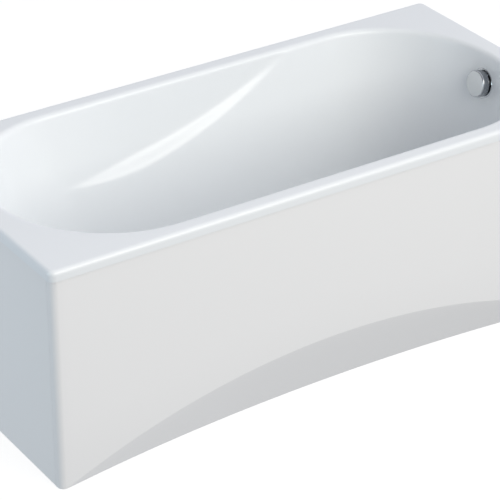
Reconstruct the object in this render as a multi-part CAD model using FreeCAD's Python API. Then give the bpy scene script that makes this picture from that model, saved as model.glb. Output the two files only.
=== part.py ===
import FreeCAD, Part
import math
import os

# Panelled acrylic bathtub on an adjustable steel frame, with a pop-up waste and overflow.
# Frame of the part: origin on the floor under the middle of the rim, +X along the tub from the
# backrest (head end) to the overflow (foot end), -Y the open front, +Y the wall, +Z up.
# Lengths are in millimetres and angles in degrees.

Vector = FreeCAD.Vector
ALONG_X = Vector(1, 0, 0)
ALONG_Y = Vector(0, 1, 0)
ALONG_Z = Vector(0, 0, 1)

# Whole tub
tub_length = 1500.0
tub_width = 700.0
rim_height = 560.0
floor_height = 165.0
overrun = 4.0
pick_slack = 0.05

# Acrylic shell
shell_wall = 4.5
lip_drop = 25.0
lip_corner_radius = 14.0
lip_edge_radius = 7.0
head_margin = 60.0
foot_margin = 55.0
side_margin = 45.0
mouth_radius = 14.0
mouth_back_chamfer = 7.0
floor_radius = 60.0
side_draft_angle = 10.8
head_draft_angle = 26.6
cone_start_share = 0.7
cone_end_share = 1.3

# Armrest: a leaning ledge that falls in an arc from the rim towards the backrest
armrest_low_reach = 410.0
armrest_top_reach = 1050.0
armrest_drop = 190.0
armrest_start = 18.0
armrest_face_angle = 30.0
armrest_wall_angle = 2.5
armrest_corner_radius = 80.0
armrest_end_reach = 585.0
armrest_end_radius = 420.0
armrest_end_angle = 45.0
armrest_inset = 24.0

# Laminate, base board and rim battens
laminate_wall = 3.0
laminate_margin = 7.0
board_drain_gap = 100.0
board_side_gap = 80.0
board_thickness = 15.0
board_corner_radius = 30.0
batten_width = 20.0
batten_height = 22.0
batten_gap = 3.0
batten_end_gap = 100.0

# Frame and feet
crossbar_spacing_share = 0.825
crossbar_side_gap = 80.0
crossbar_width = 40.0
crossbar_height = 25.0
crossbar_wall = 2.5
foot_edge = 25.0
rod_radius = 6.0
rod_end_length = 20.0
thread_clearance = 0.05
nut_across_flats = 19.0
nut_height = 8.0
pad_radius = 25.0
pad_flange_height = 7.0
pad_height = 24.0
pad_neck_radius = 11.0
pad_socket_depth = 12.0
board_screw_radius = 2.2
board_screw_head_radius = 4.5
board_screw_head_height = 3.0
board_screw_length = 12.0
board_screw_spacing_share = 0.6
board_screw_count = 2

# Panels
panel_wall = 4.0
panel_clearance = 0.5
panel_top_gap = 8.0
panel_corner_radius = 12.0
panel_return = 22.0
arch_end_margin = 17.0
arch_floor_gap = 11.0
arch_recess = 54.0
panel_seam = 0.6
panel_rear_gap = 8.0
corner_angle_leg = 34.0
corner_angle_wall = 2.0
corner_angle_margin = 40.0

# Panel arms, pads and spring clips
arm_wall = 3.0
arm_height = 18.0
arm_lap = 75.0
arm_tab_width = 30.0
arm_tab_height = 58.0
arm_rise = 4.0
arm_pad_thickness = 3.0
arm_pad_margin = 4.0
arm_pad_length = 46.0
arm_bolt_radius = 3.0
arm_bolt_head_radius = 5.5
arm_bolt_head_height = 3.5
arm_bolt_length = 8.0
arm_bolt_spacing = 40.0
arm_bolt_edge = 17.0
clip_width = 30.0
clip_wall = 0.8
clip_height = 18.0
clip_top_gap = 2.0
front_clip_spacing_share = 0.333
front_clip_count = 3
end_clip_spacing_share = 0.43
end_clip_count = 2

# Wall clips
wall_clip_wall = 2.5
wall_clip_width = 40.0
wall_clip_tongue_height = 38.0
wall_clip_top_gap = 5.0
wall_clip_plate_height = 100.0
wall_clip_spacing_share = 0.6
wall_clip_hole_radius = 3.25
wall_clip_hole_spacing = 50.0
wall_clip_hole_edge = 18.0

# Drain, plug and lifting lever
drain_end_gap = 250.0
drain_hole_radius = 26.0
drain_seat_radius = 36.5
drain_seat_depth = 2.5
drain_boss_radius = 45.0
drain_boss_height = 5.0
drain_gasket_height = 3.0
flange_radius = 36.0
flange_edge = 0.9
flange_top_radius = 33.0
flange_mouth_radius = 27.0
flange_neck_radius = 25.8
flange_neck_height = 3.2
flange_cone_height = 6.0
flange_bore_radius = 20.5
flange_collar_radius = 22.7
flange_collar_height = 30.0
spider_height = 4.0
spider_arm_width = 4.0
spider_boss_radius = 6.5
spider_arm_count = 3
plug_gap = 1.0
plug_edge_height = 1.4
plug_dome_height = 3.0
plug_skirt_height = 3.2
plug_core_radius = 16.0
plug_core_height = 7.5
plug_seal_height = 2.2
plug_seal_gap = 0.35
plug_stem_radius = 3.5
plug_stem_length = 39.5
plug_lift = 10.0
stem_clearance = 0.05
lever_reach = 19.0
lever_tip_radius = 3.0
lever_tip_gap = 0.3
lever_hub_radius = 4.6
lever_width = 8.0
lever_arm_width = 4.0
lever_cable_reach = 14.0
lever_cable_tip_radius = 2.4
lever_pin_radius = 2.0
lever_pin_length = 43.0
lever_clearance = 0.05

# Waste body, trap and outlet
waste_flange_radius = 40.0
waste_flange_height = 5.0
waste_radius = 30.0
waste_wall = 3.0
waste_neck_height = 17.0
waste_neck_bore_radius = 23.0
waste_height = 57.0
spigot_radius = 22.0
spigot_wall = 2.5
spigot_height = 15.0
trap_neck_height = 14.0
trap_radius = 34.0
trap_wall = 3.0
trap_bottom_height = 16.0
trap_dip_radius = 18.0
trap_dip_wall = 2.0
trap_dip_height = 30.0
trap_cap_radius = 38.0
trap_cap_height = 12.0
trap_cap_floor_height = 8.0
union_nut_radius = 26.0
union_nut_height = 20.0
union_nut_step = 4.0
union_nut_sides = 8
outlet_height = 44.0
outlet_socket_radius = 22.5
outlet_socket_length = 60.0
outlet_socket_depth = 16.0
outlet_pipe_radius = 20.0
outlet_pipe_wall = 2.0
outlet_wall_gap = 15.0
outlet_free_length = 45.0
outlet_bead_length = 3.0
outlet_bead_height = 1.5
outlet_nut_height = 18.0

# Overflow, knob and overflow pipe
overflow_depth = 77.0
overflow_pad_radius = 41.0
overflow_pad_wall = 7.0
overflow_hole_radius = 26.0
overflow_flange_radius = 38.0
overflow_flange_height = 2.5
overflow_collar_radius = 24.5
overflow_collar_wall = 2.5
overflow_collar_height = 7.0
overflow_spoke_width = 5.0
overflow_spoke_count = 3
overflow_hub_radius = 8.0
overflow_gasket_height = 3.0
overflow_body_flange_radius = 38.0
overflow_body_flange_height = 3.0
overflow_body_radius = 28.5
overflow_body_wall = 2.5
overflow_body_depth = 40.0
overflow_axis_depth = 33.5
overflow_spigot_radius = 18.5
overflow_spigot_drop = 50.0
overflow_pipe_radius = 16.0
overflow_pipe_wall = 2.0
overflow_pipe_seat = 22.0
overflow_bend_radius = 40.0
overflow_nut_height = 16.0
port_height = 30.0
port_length = 66.0
knob_radius = 34.0
knob_depth = 19.0
knob_wall = 2.5
knob_gap = 3.5
knob_edge_chamfer = 3.0
knob_hub_radius = 7.0
knob_vent_width = 26.0
knob_vent_height = 9.0
spindle_radius = 4.0
spindle_clearance = 0.05
drum_radius = 10.0
drum_height = 6.0
drum_gap = 23.5

# Glands for the cable between the knob and the lever
cable_radius = 2.5
gland_radius = 5.0
gland_length = 12.0

# Levels and planes that several pieces share
basin_depth = rim_height - floor_height
floor_top = floor_height
floor_under = floor_top - shell_wall
rim_under = rim_height - shell_wall
lip_bottom = rim_height - lip_drop
board_under = floor_under - board_thickness
laminate_under = board_under - laminate_wall
crossbar_web_under = laminate_under - crossbar_wall
arch_rise = floor_height - arch_floor_gap
mouth_half_width = tub_width / 2 - side_margin
side_slope = math.tan(math.radians(side_draft_angle))
head_slope = math.tan(math.radians(head_draft_angle))
foot_centre_x = tub_length / 2 - foot_margin - mouth_half_width
armrest_low_x = armrest_low_reach - tub_length / 2
armrest_top_x = armrest_top_reach - tub_length / 2
armrest_end_x = armrest_end_reach - tub_length / 2
drain_x = tub_length / 2 - drain_end_gap
board_length = 2 * (drain_x - board_drain_gap)
board_width = 2 * (mouth_half_width - side_slope * basin_depth - board_side_gap)
board_screw_spacing = board_width * board_screw_spacing_share
crossbar_spacing = board_length * crossbar_spacing_share
crossbar_length = tub_width - 2 * crossbar_side_gap
foot_spacing = crossbar_length - 2 * foot_edge
panel_outer_y = -tub_width / 2 + shell_wall + panel_clearance
panel_outer_x = -tub_length / 2 + shell_wall + panel_clearance
panel_inner_y = panel_outer_y + panel_wall
panel_inner_x = panel_outer_x + panel_wall
panel_top = rim_under - panel_top_gap
batten_outer_y = -panel_inner_y - batten_gap
batten_outer_x = -panel_inner_x - batten_gap
side_batten_length = tub_length - 2 * batten_end_gap
end_batten_length = tub_width - 2 * batten_end_gap
front_clip_spacing = tub_length * front_clip_spacing_share
end_clip_spacing = tub_width * end_clip_spacing_share
wall_clip_spacing = tub_length * wall_clip_spacing_share
drain_axis = Vector(drain_x, 0, 0)
seat_top = floor_top - drain_seat_depth
boss_under = floor_under - drain_boss_height
gasket_under = boss_under - drain_gasket_height
waste_bottom = gasket_under - waste_height
spigot_bottom = waste_bottom - spigot_height
trap_top = spigot_bottom - trap_neck_height
port_z = waste_bottom + port_height
plug_seat = floor_top - plug_skirt_height
stem_bottom = floor_top - plug_core_height - plug_stem_length
lever_half_turn = math.degrees(math.asin(plug_lift / 2 / lever_reach))
lever_z = stem_bottom - lever_tip_gap - lever_tip_radius + plug_lift / 2
lever_y = -lever_reach * math.cos(math.radians(lever_half_turn))
gland_z = lever_z - lever_cable_reach
overflow_draft = math.radians(side_draft_angle)
overflow_axis = Vector(-math.cos(overflow_draft), 0, math.sin(overflow_draft))
overflow_x = tub_length / 2 - foot_margin - side_slope * overflow_depth
overflow_point = Vector(overflow_x, 0, rim_height - overflow_depth)
overflow_turn = FreeCAD.Rotation(ALONG_Z, overflow_axis)
overflow_place = FreeCAD.Placement(overflow_point, overflow_turn)
overflow_pipe_top = overflow_point - overflow_axis * overflow_axis_depth


def box(x_low, x_high, y_low, y_high, z_low, z_high):
    corner = Vector(x_low, y_low, z_low)
    return Part.makeBox(x_high - x_low, y_high - y_low, z_high - z_low, corner)


def cylinder(radius, base, direction, height):
    return Part.makeCylinder(radius, height, base, direction)


def tube(outer, inner, base, direction, height):
    return cylinder(outer, base, direction, height).cut(cylinder(inner, base, direction, height))


def turned(outline):
    """A solid turned about +Z from (radius, height) points."""
    points = [Vector(radius, 0, height) for radius, height in outline]
    return Part.Face(Part.makePolygon(points + points[:1])).revolve(Vector(), ALONG_Z, 360)


def prism(points, push):
    return Part.Face(Part.makePolygon(points + points[:1])).extrude(push)


def fused(solids):
    whole = solids[0].multiFuse(solids[1:])
    return whole.removeSplitter()


def cut_all(solid, rooms):
    for room in rooms:
        solid = solid.cut(room)
    return solid


def moved(shape, offset):
    copy = shape.copy()
    copy.translate(offset)
    return copy


def both_sides(solid):
    """A solid and its mirror image across the middle of the tub."""
    return [solid, solid.mirror(Vector(), ALONG_Y)]


def spread(count, spacing):
    """Evenly spaced places about the middle."""
    return [spacing * (i - (count - 1) / 2) for i in range(count)]


def edges_between(shape, low, high):
    """The edges that lie inside a block between two corners."""
    block = FreeCAD.BoundBox(low.x, low.y, low.z, high.x, high.y, high.z)
    return [edge for edge in shape.Edges if block.isInside(edge.BoundBox)]


def edges_at_height(shape, height, half_length, half_width):
    reach = Vector(half_length, half_width, 0)
    level = ALONG_Z * height
    slack = ALONG_Z * pick_slack
    return edges_between(shape, level - reach - slack, level + reach + slack)


def upright_edges(shape):
    def is_upright(edge):
        return edge.BoundBox.XLength + edge.BoundBox.YLength < pick_slack
    return [edge for edge in shape.Edges if is_upright(edge)]


def swept(route, radius, bend_radius):
    """A round rod along straight runs that arcs of one radius join."""
    pieces = []
    start = route[0]
    for i in range(1, len(route) - 1):
        corner = route[i]
        back = (route[i - 1] - corner).normalize()
        ahead = (route[i + 1] - corner).normalize()
        half_angle = back.getAngle(ahead) / 2
        reach = bend_radius / math.tan(half_angle)
        middle = (back + ahead).normalize()
        crown = corner + middle * (bend_radius / math.sin(half_angle) - bend_radius)
        pieces.append(Part.makeLine(start, corner + back * reach))
        pieces.append(Part.Arc(corner + back * reach, crown, corner + ahead * reach).toShape())
        start = corner + ahead * reach
    pieces.append(Part.makeLine(start, route[-1]))
    circle = Part.Wire(Part.makeCircle(radius, route[0], route[1] - route[0]))
    return Part.Wire(pieces).makePipeShell([circle], True, True)


# Basin: tilted side walls, an upright cone at the foot end and a leaning cone for the backrest,
# all tangent to each other

def basin_form(grow):
    """The room inside the basin as a solid, grown outwards by a wall."""
    draft = math.radians(side_draft_angle)
    half_width = mouth_half_width + grow / math.cos(draft)
    apex_depth = half_width / side_slope
    bottom = floor_top - grow
    top = rim_height + overrun
    low_reach = side_slope * (apex_depth - rim_height + bottom)
    high_reach = side_slope * (apex_depth + overrun)
    head_draft = math.radians(head_draft_angle)
    cone_rise = 1 - math.sin(draft) * math.sin(head_draft)
    cone_angle = math.atan(math.sin(draft) * math.cos(head_draft) / cone_rise)
    lean = head_draft - cone_angle
    head_x = -tub_length / 2 + head_margin - grow / math.cos(head_draft)
    apex = Vector(head_x + head_slope * apex_depth, 0, rim_height - apex_depth)

    def tangent_x(height):
        """Where the leaning cone touches the side walls."""
        return apex.x - math.tan(lean) * (height - apex.z) / math.cos(draft) ** 2

    lean_axis = Vector(-math.sin(lean), 0, math.cos(lean))
    near, far = (bottom - apex.z) * cone_start_share, (top - apex.z) * cone_end_share
    spread_share = math.tan(cone_angle)
    small, large = near * spread_share, far * spread_share
    backrest = Part.makeCone(small, large, far - near, apex + lean_axis * near, lean_axis)
    behind = [
        Vector(tangent_x(bottom), -tub_width, bottom),
        Vector(tangent_x(top), -tub_width, top),
        Vector(-tub_length, -tub_width, top),
        Vector(-tub_length, -tub_width, bottom),
    ]
    head_half = prism(behind, ALONG_Y * 2 * tub_width)
    foot_base = Vector(foot_centre_x, 0, bottom)
    foot = Part.makeCone(low_reach, high_reach, top - bottom, foot_base, ALONG_Z, 180)
    foot.rotate(Vector(foot_centre_x, 0, 0), ALONG_Z, -90)
    section = [
        Vector(foot_centre_x, -low_reach, bottom),
        Vector(foot_centre_x, low_reach, bottom),
        Vector(foot_centre_x, high_reach, top),
        Vector(foot_centre_x, -high_reach, top),
    ]
    middle = prism(section, -ALONG_X * tub_length).cut(head_half)
    basin = fused([backrest.common(head_half), foot, middle]).Solids[0]
    floor_edges = edges_at_height(basin, bottom, tub_length, tub_width)
    return basin.makeFillet(floor_radius + grow, floor_edges)


def armrest_form(grow):
    """The room over one armrest, grown outwards by a wall: a rolled ledge under a steep wall."""
    face_turn = math.radians(armrest_face_angle)
    wall_slope = math.tan(math.radians(armrest_wall_angle))
    start_y = mouth_half_width - side_slope * armrest_start
    drop = armrest_drop - armrest_start
    low_y = start_y - (side_slope + wall_slope) / 2 * drop
    low = Vector(armrest_low_x, low_y, rim_height - armrest_drop)
    high = Vector(armrest_top_x, start_y, rim_height - armrest_start)
    ledge_axis = Vector(0, math.sin(face_turn), math.cos(face_turn))
    square = Vector(0, -math.cos(face_turn), math.sin(face_turn))
    rise = (high - low).dot(square)
    radius = ((high.x - low.x) ** 2 + rise ** 2) / (2 * rise)
    roll_base = low + square * radius - ledge_axis * tub_width
    ledge_room = cylinder(radius + grow, roll_base, ledge_axis, 2 * tub_width)

    base_z = low.z - armrest_drop / 2
    wall_y = start_y - wall_slope * (high.z - base_z) + grow
    end_turn = math.radians(armrest_end_angle)
    bend = armrest_end_radius + grow

    def bend_point(turn):
        return Vector(armrest_end_x - bend * math.sin(turn), wall_y - bend * (1 - math.cos(turn)), base_z)

    far = Vector(armrest_top_x + armrest_end_radius / 4, wall_y, base_z)
    near = bend_point(end_turn)
    far_inner = Vector(far.x, near.y - armrest_inset, base_z)
    near_inner = Vector(near.x, near.y - armrest_inset, base_z)
    edges = [
        Part.makeLine(near_inner, far_inner),
        Part.makeLine(far_inner, far),
        Part.makeLine(far, bend_point(0)),
        Part.Arc(bend_point(0), bend_point(end_turn / 2), near).toShape(),
        Part.makeLine(near, near_inner),
    ]
    push = Vector(0, wall_slope, 1) * (high.z - base_z)
    room = Part.Face(Part.Wire(edges)).extrude(push).common(ledge_room)
    corner = []
    for edge in room.Edges:
        bounds = edge.BoundBox
        if min(bounds.XLength, bounds.ZLength) > shell_wall and bounds.YMin > near.y + push.y:
            corner.append(edge)
    return room.Solids[0].makeFillet(armrest_corner_radius + grow, corner)


def rim_form():
    """The flat rim with its turned-down lip, still without the basin's mouth."""
    half_length, half_width = tub_length / 2, tub_width / 2
    outer = box(-half_length, half_length, -half_width, half_width, lip_bottom, rim_height)
    outer = outer.makeFillet(lip_corner_radius, upright_edges(outer))
    top_edges = edges_at_height(outer, rim_height, tub_length, tub_width)
    outer = outer.makeFillet(lip_edge_radius, top_edges)
    half_length, half_width = half_length - shell_wall, half_width - shell_wall
    inner = box(-half_length, half_length, -half_width, half_width, lip_bottom, rim_under)
    inner = inner.makeFillet(lip_corner_radius - shell_wall, upright_edges(inner))
    return outer.cut(inner)


def tub_shell():
    """The acrylic shell: lip, rim, rounded mouth, basin with armrests, drain and overflow seats."""
    below_rim = box(-tub_length, tub_length, -tub_width, tub_width, 0, rim_under + shell_wall / 2)
    basin_room = basin_form(0)
    shell = fused([rim_form(), basin_form(shell_wall).common(below_rim)]).cut(basin_room)
    shell = shell.removeSplitter().Solids[0]
    half_length = tub_length / 2 - foot_margin / 2
    half_width = tub_width / 2 - side_margin / 2
    back_edges = edges_at_height(shell, rim_under, half_length, half_width)
    shell = shell.makeChamfer(mouth_back_chamfer, back_edges)
    mouth_edges = edges_at_height(shell, rim_height, half_length, half_width)
    shell = shell.makeFillet(mouth_radius, mouth_edges)
    boss_height = shell_wall + drain_boss_height
    drain_boss = cylinder(drain_boss_radius, drain_axis + ALONG_Z * boss_under, ALONG_Z, boss_height)
    overflow_pad = cylinder(overflow_pad_radius + shell_wall, Vector(), -ALONG_Z, overflow_pad_wall)
    overflow_pad.Placement = overflow_place
    shell = fused([shell, drain_boss, overflow_pad] + both_sides(armrest_form(shell_wall)))
    overflow_seat = cylinder(overflow_pad_radius, Vector(), ALONG_Z, overflow_pad_radius)
    overflow_hole = cylinder(overflow_hole_radius, -ALONG_Z * overflow_pad_radius, ALONG_Z, tub_width / 4)
    overflow_room = overflow_seat.fuse(overflow_hole)
    overflow_room.Placement = overflow_place
    drain_seat = cylinder(drain_seat_radius, drain_axis + ALONG_Z * seat_top, ALONG_Z, rim_height)
    drain_hole = cylinder(drain_hole_radius, drain_axis, ALONG_Z, rim_height)
    for room in [basin_room, overflow_room, drain_seat, drain_hole] + both_sides(armrest_form(0)):
        shell = shell.cut(room)
    return shell.removeSplitter().Solids[0]


# Laminate, base board and battens

def board_block(margin, bottom, top):
    half_length, half_width = board_length / 2 + margin, board_width / 2 + margin
    block = box(-half_length, half_length, -half_width, half_width, bottom, top)
    return block.makeFillet(board_corner_radius + margin, upright_edges(block))


def board_screw_places():
    places = []
    for x in spread(2, crossbar_spacing):
        for y in spread(board_screw_count, board_screw_spacing):
            places.append(Vector(x, y, crossbar_web_under))
    return places


def board_screw_holes():
    length = board_screw_length
    return [cylinder(board_screw_radius, place, ALONG_Z, length) for place in board_screw_places()]


def base_board():
    return cut_all(board_block(0, board_under, floor_under), board_screw_holes())


def laminate_tray():
    """The glass-fibre laminate that wraps the board and bonds it under the floor."""
    tray = board_block(laminate_margin, laminate_under, floor_under)
    tray = tray.cut(board_block(0, board_under, floor_under))
    return cut_all(tray, board_screw_holes())


def rim_battens():
    """Timber battens under the rim: one along each side and one across each end."""
    bottom = rim_under - batten_height
    half_side, half_end = side_batten_length / 2, end_batten_length / 2
    side = box(-half_side, half_side, batten_outer_y - batten_width, batten_outer_y, bottom, rim_under)
    head = box(-batten_outer_x, batten_width - batten_outer_x, -half_end, half_end, bottom, rim_under)
    foot = head.mirror(Vector(), ALONG_X)
    return Part.makeCompound(both_sides(side) + [head, foot])


# Steel cradle and adjustable feet

def crossbar(x):
    """A channel with its web up, drilled for the board screws and the leg rods."""
    half = crossbar_width / 2
    inner = half - crossbar_wall
    bottom = laminate_under - crossbar_height
    outline = [
        Vector(-half, -crossbar_length / 2, bottom),
        Vector(-half, -crossbar_length / 2, laminate_under),
        Vector(half, -crossbar_length / 2, laminate_under),
        Vector(half, -crossbar_length / 2, bottom),
        Vector(inner, -crossbar_length / 2, bottom),
        Vector(inner, -crossbar_length / 2, crossbar_web_under),
        Vector(-inner, -crossbar_length / 2, crossbar_web_under),
        Vector(-inner, -crossbar_length / 2, bottom),
    ]
    channel = moved(prism(outline, ALONG_Y * crossbar_length), ALONG_X * x)
    rod_holes = [
        cylinder(rod_radius + thread_clearance, Vector(x, y, 0), ALONG_Z, rim_height)
        for y in spread(2, foot_spacing)
    ]
    arm_holes = arm_bolt_holes(x)
    return cut_all(channel, rod_holes + board_screw_holes() + arm_holes)


def bolts(places, direction, radius, length, head_radius, head_height):
    """Headed screws, one solid each, whose heads bear at their places."""
    solids = []
    for place in places:
        shank = cylinder(radius, place, direction, length)
        head = cylinder(head_radius, place - direction * head_height, direction, head_height)
        solids.append(fused([shank, head]))
    return Part.makeCompound(solids)


def board_screws():
    head = (board_screw_head_radius, board_screw_head_height)
    return bolts(board_screw_places(), ALONG_Z, board_screw_radius, board_screw_length, *head)


def hex_nut(place):
    corner_reach = nut_across_flats / 2 / math.cos(math.radians(30))
    corners = [
        place + Vector(corner_reach * math.cos(turn), corner_reach * math.sin(turn), 0)
        for turn in [math.radians(60 * i) for i in range(6)]
    ]
    nut = prism(corners, ALONG_Z * nut_height)
    return nut.cut(cylinder(rod_radius + thread_clearance, place, ALONG_Z, nut_height))


def crossbar_nuts(x):
    """A nut on each side of the web at both leg rods."""
    levels = [laminate_under, crossbar_web_under - nut_height]
    return Part.makeCompound([hex_nut(Vector(x, y, z)) for y in spread(2, foot_spacing) for z in levels])


def leg_rod(x, y):
    bottom = pad_height - pad_socket_depth
    top = laminate_under + nut_height + rod_end_length
    rod = cylinder(rod_radius, Vector(x, y, bottom), ALONG_Z, top - bottom)
    return rod.makeChamfer(rod_radius / 4, edges_at_height(rod, top, tub_length, tub_width))


def foot_pad(x, y):
    profile = [
        (0, 0),
        (pad_radius, 0),
        (pad_radius, pad_flange_height),
        (pad_neck_radius, pad_flange_height),
        (pad_neck_radius, pad_height),
        (rod_radius, pad_height),
        (rod_radius, pad_height - pad_socket_depth),
        (0, pad_height - pad_socket_depth),
    ]
    return moved(turned(profile), Vector(x, y, 0))


# Panels

def arch_roll(grow):
    """A huge lying cylinder whose side is the undercut under the arch of the front panel."""
    fall = math.hypot(arch_recess, arch_rise)
    axis = Vector(0, arch_recess / fall, -arch_rise / fall)
    square = Vector(0, axis.z, -axis.y)
    half_span = -panel_outer_x - arch_end_margin
    rise = arch_rise * arch_recess / fall
    radius = (half_span ** 2 + rise ** 2) / (2 * rise)
    crown = Vector(0, panel_outer_y, arch_rise)
    return cylinder(radius + grow, crown + square * radius - axis * tub_width, axis, 2 * tub_width)


def front_panel():
    """The front panel: a flat face, an arched undercut down to the floor and returned ends."""
    left, right = panel_outer_x, -panel_outer_x
    outer = box(left, right, panel_outer_y, panel_outer_y + panel_return, 0, panel_top)
    front_edges = [edge for edge in upright_edges(outer) if edge.BoundBox.YMax < panel_inner_y]
    outer = outer.makeFillet(panel_corner_radius, front_edges)
    inner = box(left + panel_wall, right - panel_wall, panel_inner_y, 0, 0, panel_top)
    front_edges = [edge for edge in upright_edges(inner) if edge.BoundBox.YMax < panel_inner_y / 2]
    inner = inner.makeFillet(panel_corner_radius - panel_wall, front_edges)
    face = outer.cut(inner).cut(arch_roll(0))
    undercut_room = box(left + panel_wall, right - panel_wall, panel_outer_y, 0, 0, rim_height)
    undercut = arch_roll(panel_wall).cut(arch_roll(0)).common(undercut_room)
    return fused([face, undercut])


def end_panel():
    front = panel_outer_y + panel_return + panel_seam
    rear = tub_width / 2 - shell_wall - panel_rear_gap
    return box(panel_outer_x, panel_inner_x, front, rear, 0, panel_top)


def corner_angle():
    """The angle strip that backs both panels behind their corner."""
    outer_x, outer_y = panel_inner_x, panel_outer_y + panel_return + panel_seam
    bottom, top = corner_angle_margin + arch_rise, panel_top - corner_angle_margin
    inner_x, inner_y = outer_x + corner_angle_wall, panel_inner_y + corner_angle_wall
    outline = [
        Vector(outer_x, outer_y + corner_angle_leg, bottom),
        Vector(inner_x, outer_y + corner_angle_leg, bottom),
        Vector(inner_x, inner_y + panel_corner_radius, bottom),
        Vector(inner_x + panel_corner_radius, inner_y, bottom),
        Vector(outer_x + corner_angle_leg, inner_y, bottom),
        Vector(outer_x + corner_angle_leg, panel_inner_y, bottom),
        Vector(outer_x + panel_corner_radius, panel_inner_y, bottom),
        Vector(outer_x, panel_inner_y + panel_corner_radius, bottom),
    ]
    return prism(outline, ALONG_Z * (top - bottom))


# Arms, pads and clips that hold the panels

def outward(x):
    """The direction along the tub that points away from its middle."""
    return ALONG_X if x > 0 else -ALONG_X


def outside_span(x, near, far):
    """The two ends, lower first, of a span beyond the outward side of the channel at x."""
    side = x + outward(x).x * crossbar_width / 2
    return sorted([side + outward(x).x * near, side + outward(x).x * far])


def arm_bolt_places(x):
    """Where the two bolts bear on an arm that lies against the channel's outward side."""
    first = -crossbar_length / 2 + arm_bolt_edge
    side = x + outward(x).x * (crossbar_width / 2 + arm_wall)
    height = laminate_under - crossbar_height / 2
    return [Vector(side, first + i * arm_bolt_spacing, height) for i in range(2)]


def arm_bolt_holes(x):
    inward = -outward(x)
    return [cylinder(arm_bolt_radius, place, inward, arm_bolt_length) for place in arm_bolt_places(x)]


def panel_arm(x):
    """A flat steel arm from the channel to an upright tab behind the front panel."""
    tab_y = panel_inner_y + arm_pad_thickness
    middle_z = laminate_under - crossbar_height / 2
    bottom = middle_z - arm_height / 2
    tab_bottom = bottom + arm_rise
    tab_top = tab_bottom + arm_tab_height
    inner_end = -crossbar_length / 2 + arm_lap
    bar_ends = outside_span(x, 0, arm_wall)
    bar = box(*bar_ends, tab_y, inner_end, bottom, bottom + arm_height)
    tab_ends = outside_span(x, 0, arm_tab_width)
    tab = box(*tab_ends, tab_y, tab_y + arm_wall, tab_bottom, tab_top)
    return cut_all(fused([bar, tab]), arm_bolt_holes(x))


def arm_bolts(x):
    head = (arm_bolt_head_radius, arm_bolt_head_height)
    return bolts(arm_bolt_places(x), -outward(x), arm_bolt_radius, arm_bolt_length, *head)


def arm_pad(x):
    """The foam pad between an arm's tab and the back of the front panel."""
    tab_bottom = laminate_under - crossbar_height / 2 - arm_height / 2 + arm_rise
    top = tab_bottom + arm_tab_height - arm_pad_margin
    bottom = top - arm_pad_length
    ends = outside_span(x, arm_pad_margin, arm_tab_width - arm_pad_margin)
    return box(*ends, panel_inner_y, panel_inner_y + arm_pad_thickness, bottom, top)


def spring_clip():
    """A sprung strip, modelled along +X, whose crown presses a panel against the lip."""
    outline = [
        Vector(0, 0, 0),
        Vector(0, clip_wall, 0),
        Vector(0, batten_gap, -clip_height / 2),
        Vector(0, clip_wall, -clip_height),
        Vector(0, 0, -clip_height),
        Vector(0, 0, clip_wall - clip_height),
        Vector(0, batten_gap - clip_wall, -clip_height / 2),
        Vector(0, 0, -clip_wall),
    ]
    return moved(prism(outline, ALONG_X * clip_width), -ALONG_X * clip_width / 2)


def front_clips():
    clip = spring_clip()
    clip.rotate(Vector(), ALONG_Z, 180)
    top = Vector(0, -batten_outer_y, panel_top - clip_top_gap)
    places = [top + ALONG_X * x for x in spread(front_clip_count, front_clip_spacing)]
    return Part.makeCompound([moved(clip, place) for place in places])


def end_clips():
    clip = spring_clip()
    clip.rotate(Vector(), ALONG_Z, 90)
    top = Vector(-batten_outer_x, 0, panel_top - clip_top_gap)
    places = [top + ALONG_Y * y for y in spread(end_clip_count, end_clip_spacing)]
    return Part.makeCompound([moved(clip, place) for place in places])


def wall_clip(x):
    """A wall bracket: a plate for two wall screws and a tongue that holds the rim's lip from inside."""
    tongue_top = rim_under - wall_clip_top_gap
    web_top = tongue_top - wall_clip_tongue_height
    inner, outer = batten_outer_y, tub_width / 2
    outline = [
        Vector(0, inner, tongue_top),
        Vector(0, inner + wall_clip_wall, tongue_top),
        Vector(0, inner + wall_clip_wall, web_top),
        Vector(0, outer, web_top),
        Vector(0, outer, web_top - wall_clip_plate_height),
        Vector(0, outer - wall_clip_wall, web_top - wall_clip_plate_height),
        Vector(0, outer - wall_clip_wall, web_top - wall_clip_wall),
        Vector(0, inner, web_top - wall_clip_wall),
    ]
    clip = moved(prism(outline, ALONG_X * wall_clip_width), ALONG_X * (x - wall_clip_width / 2))
    low_z = web_top - wall_clip_plate_height + wall_clip_hole_edge
    holes = []
    for i in range(2):
        place = Vector(x, inner, low_z + i * wall_clip_hole_spacing)
        holes.append(cylinder(wall_clip_hole_radius, place, ALONG_Y, tub_width))
    return cut_all(clip, holes)


# Drain, plug and lifting lever

def at_drain(outline):
    return moved(turned(outline), drain_axis)


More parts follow.
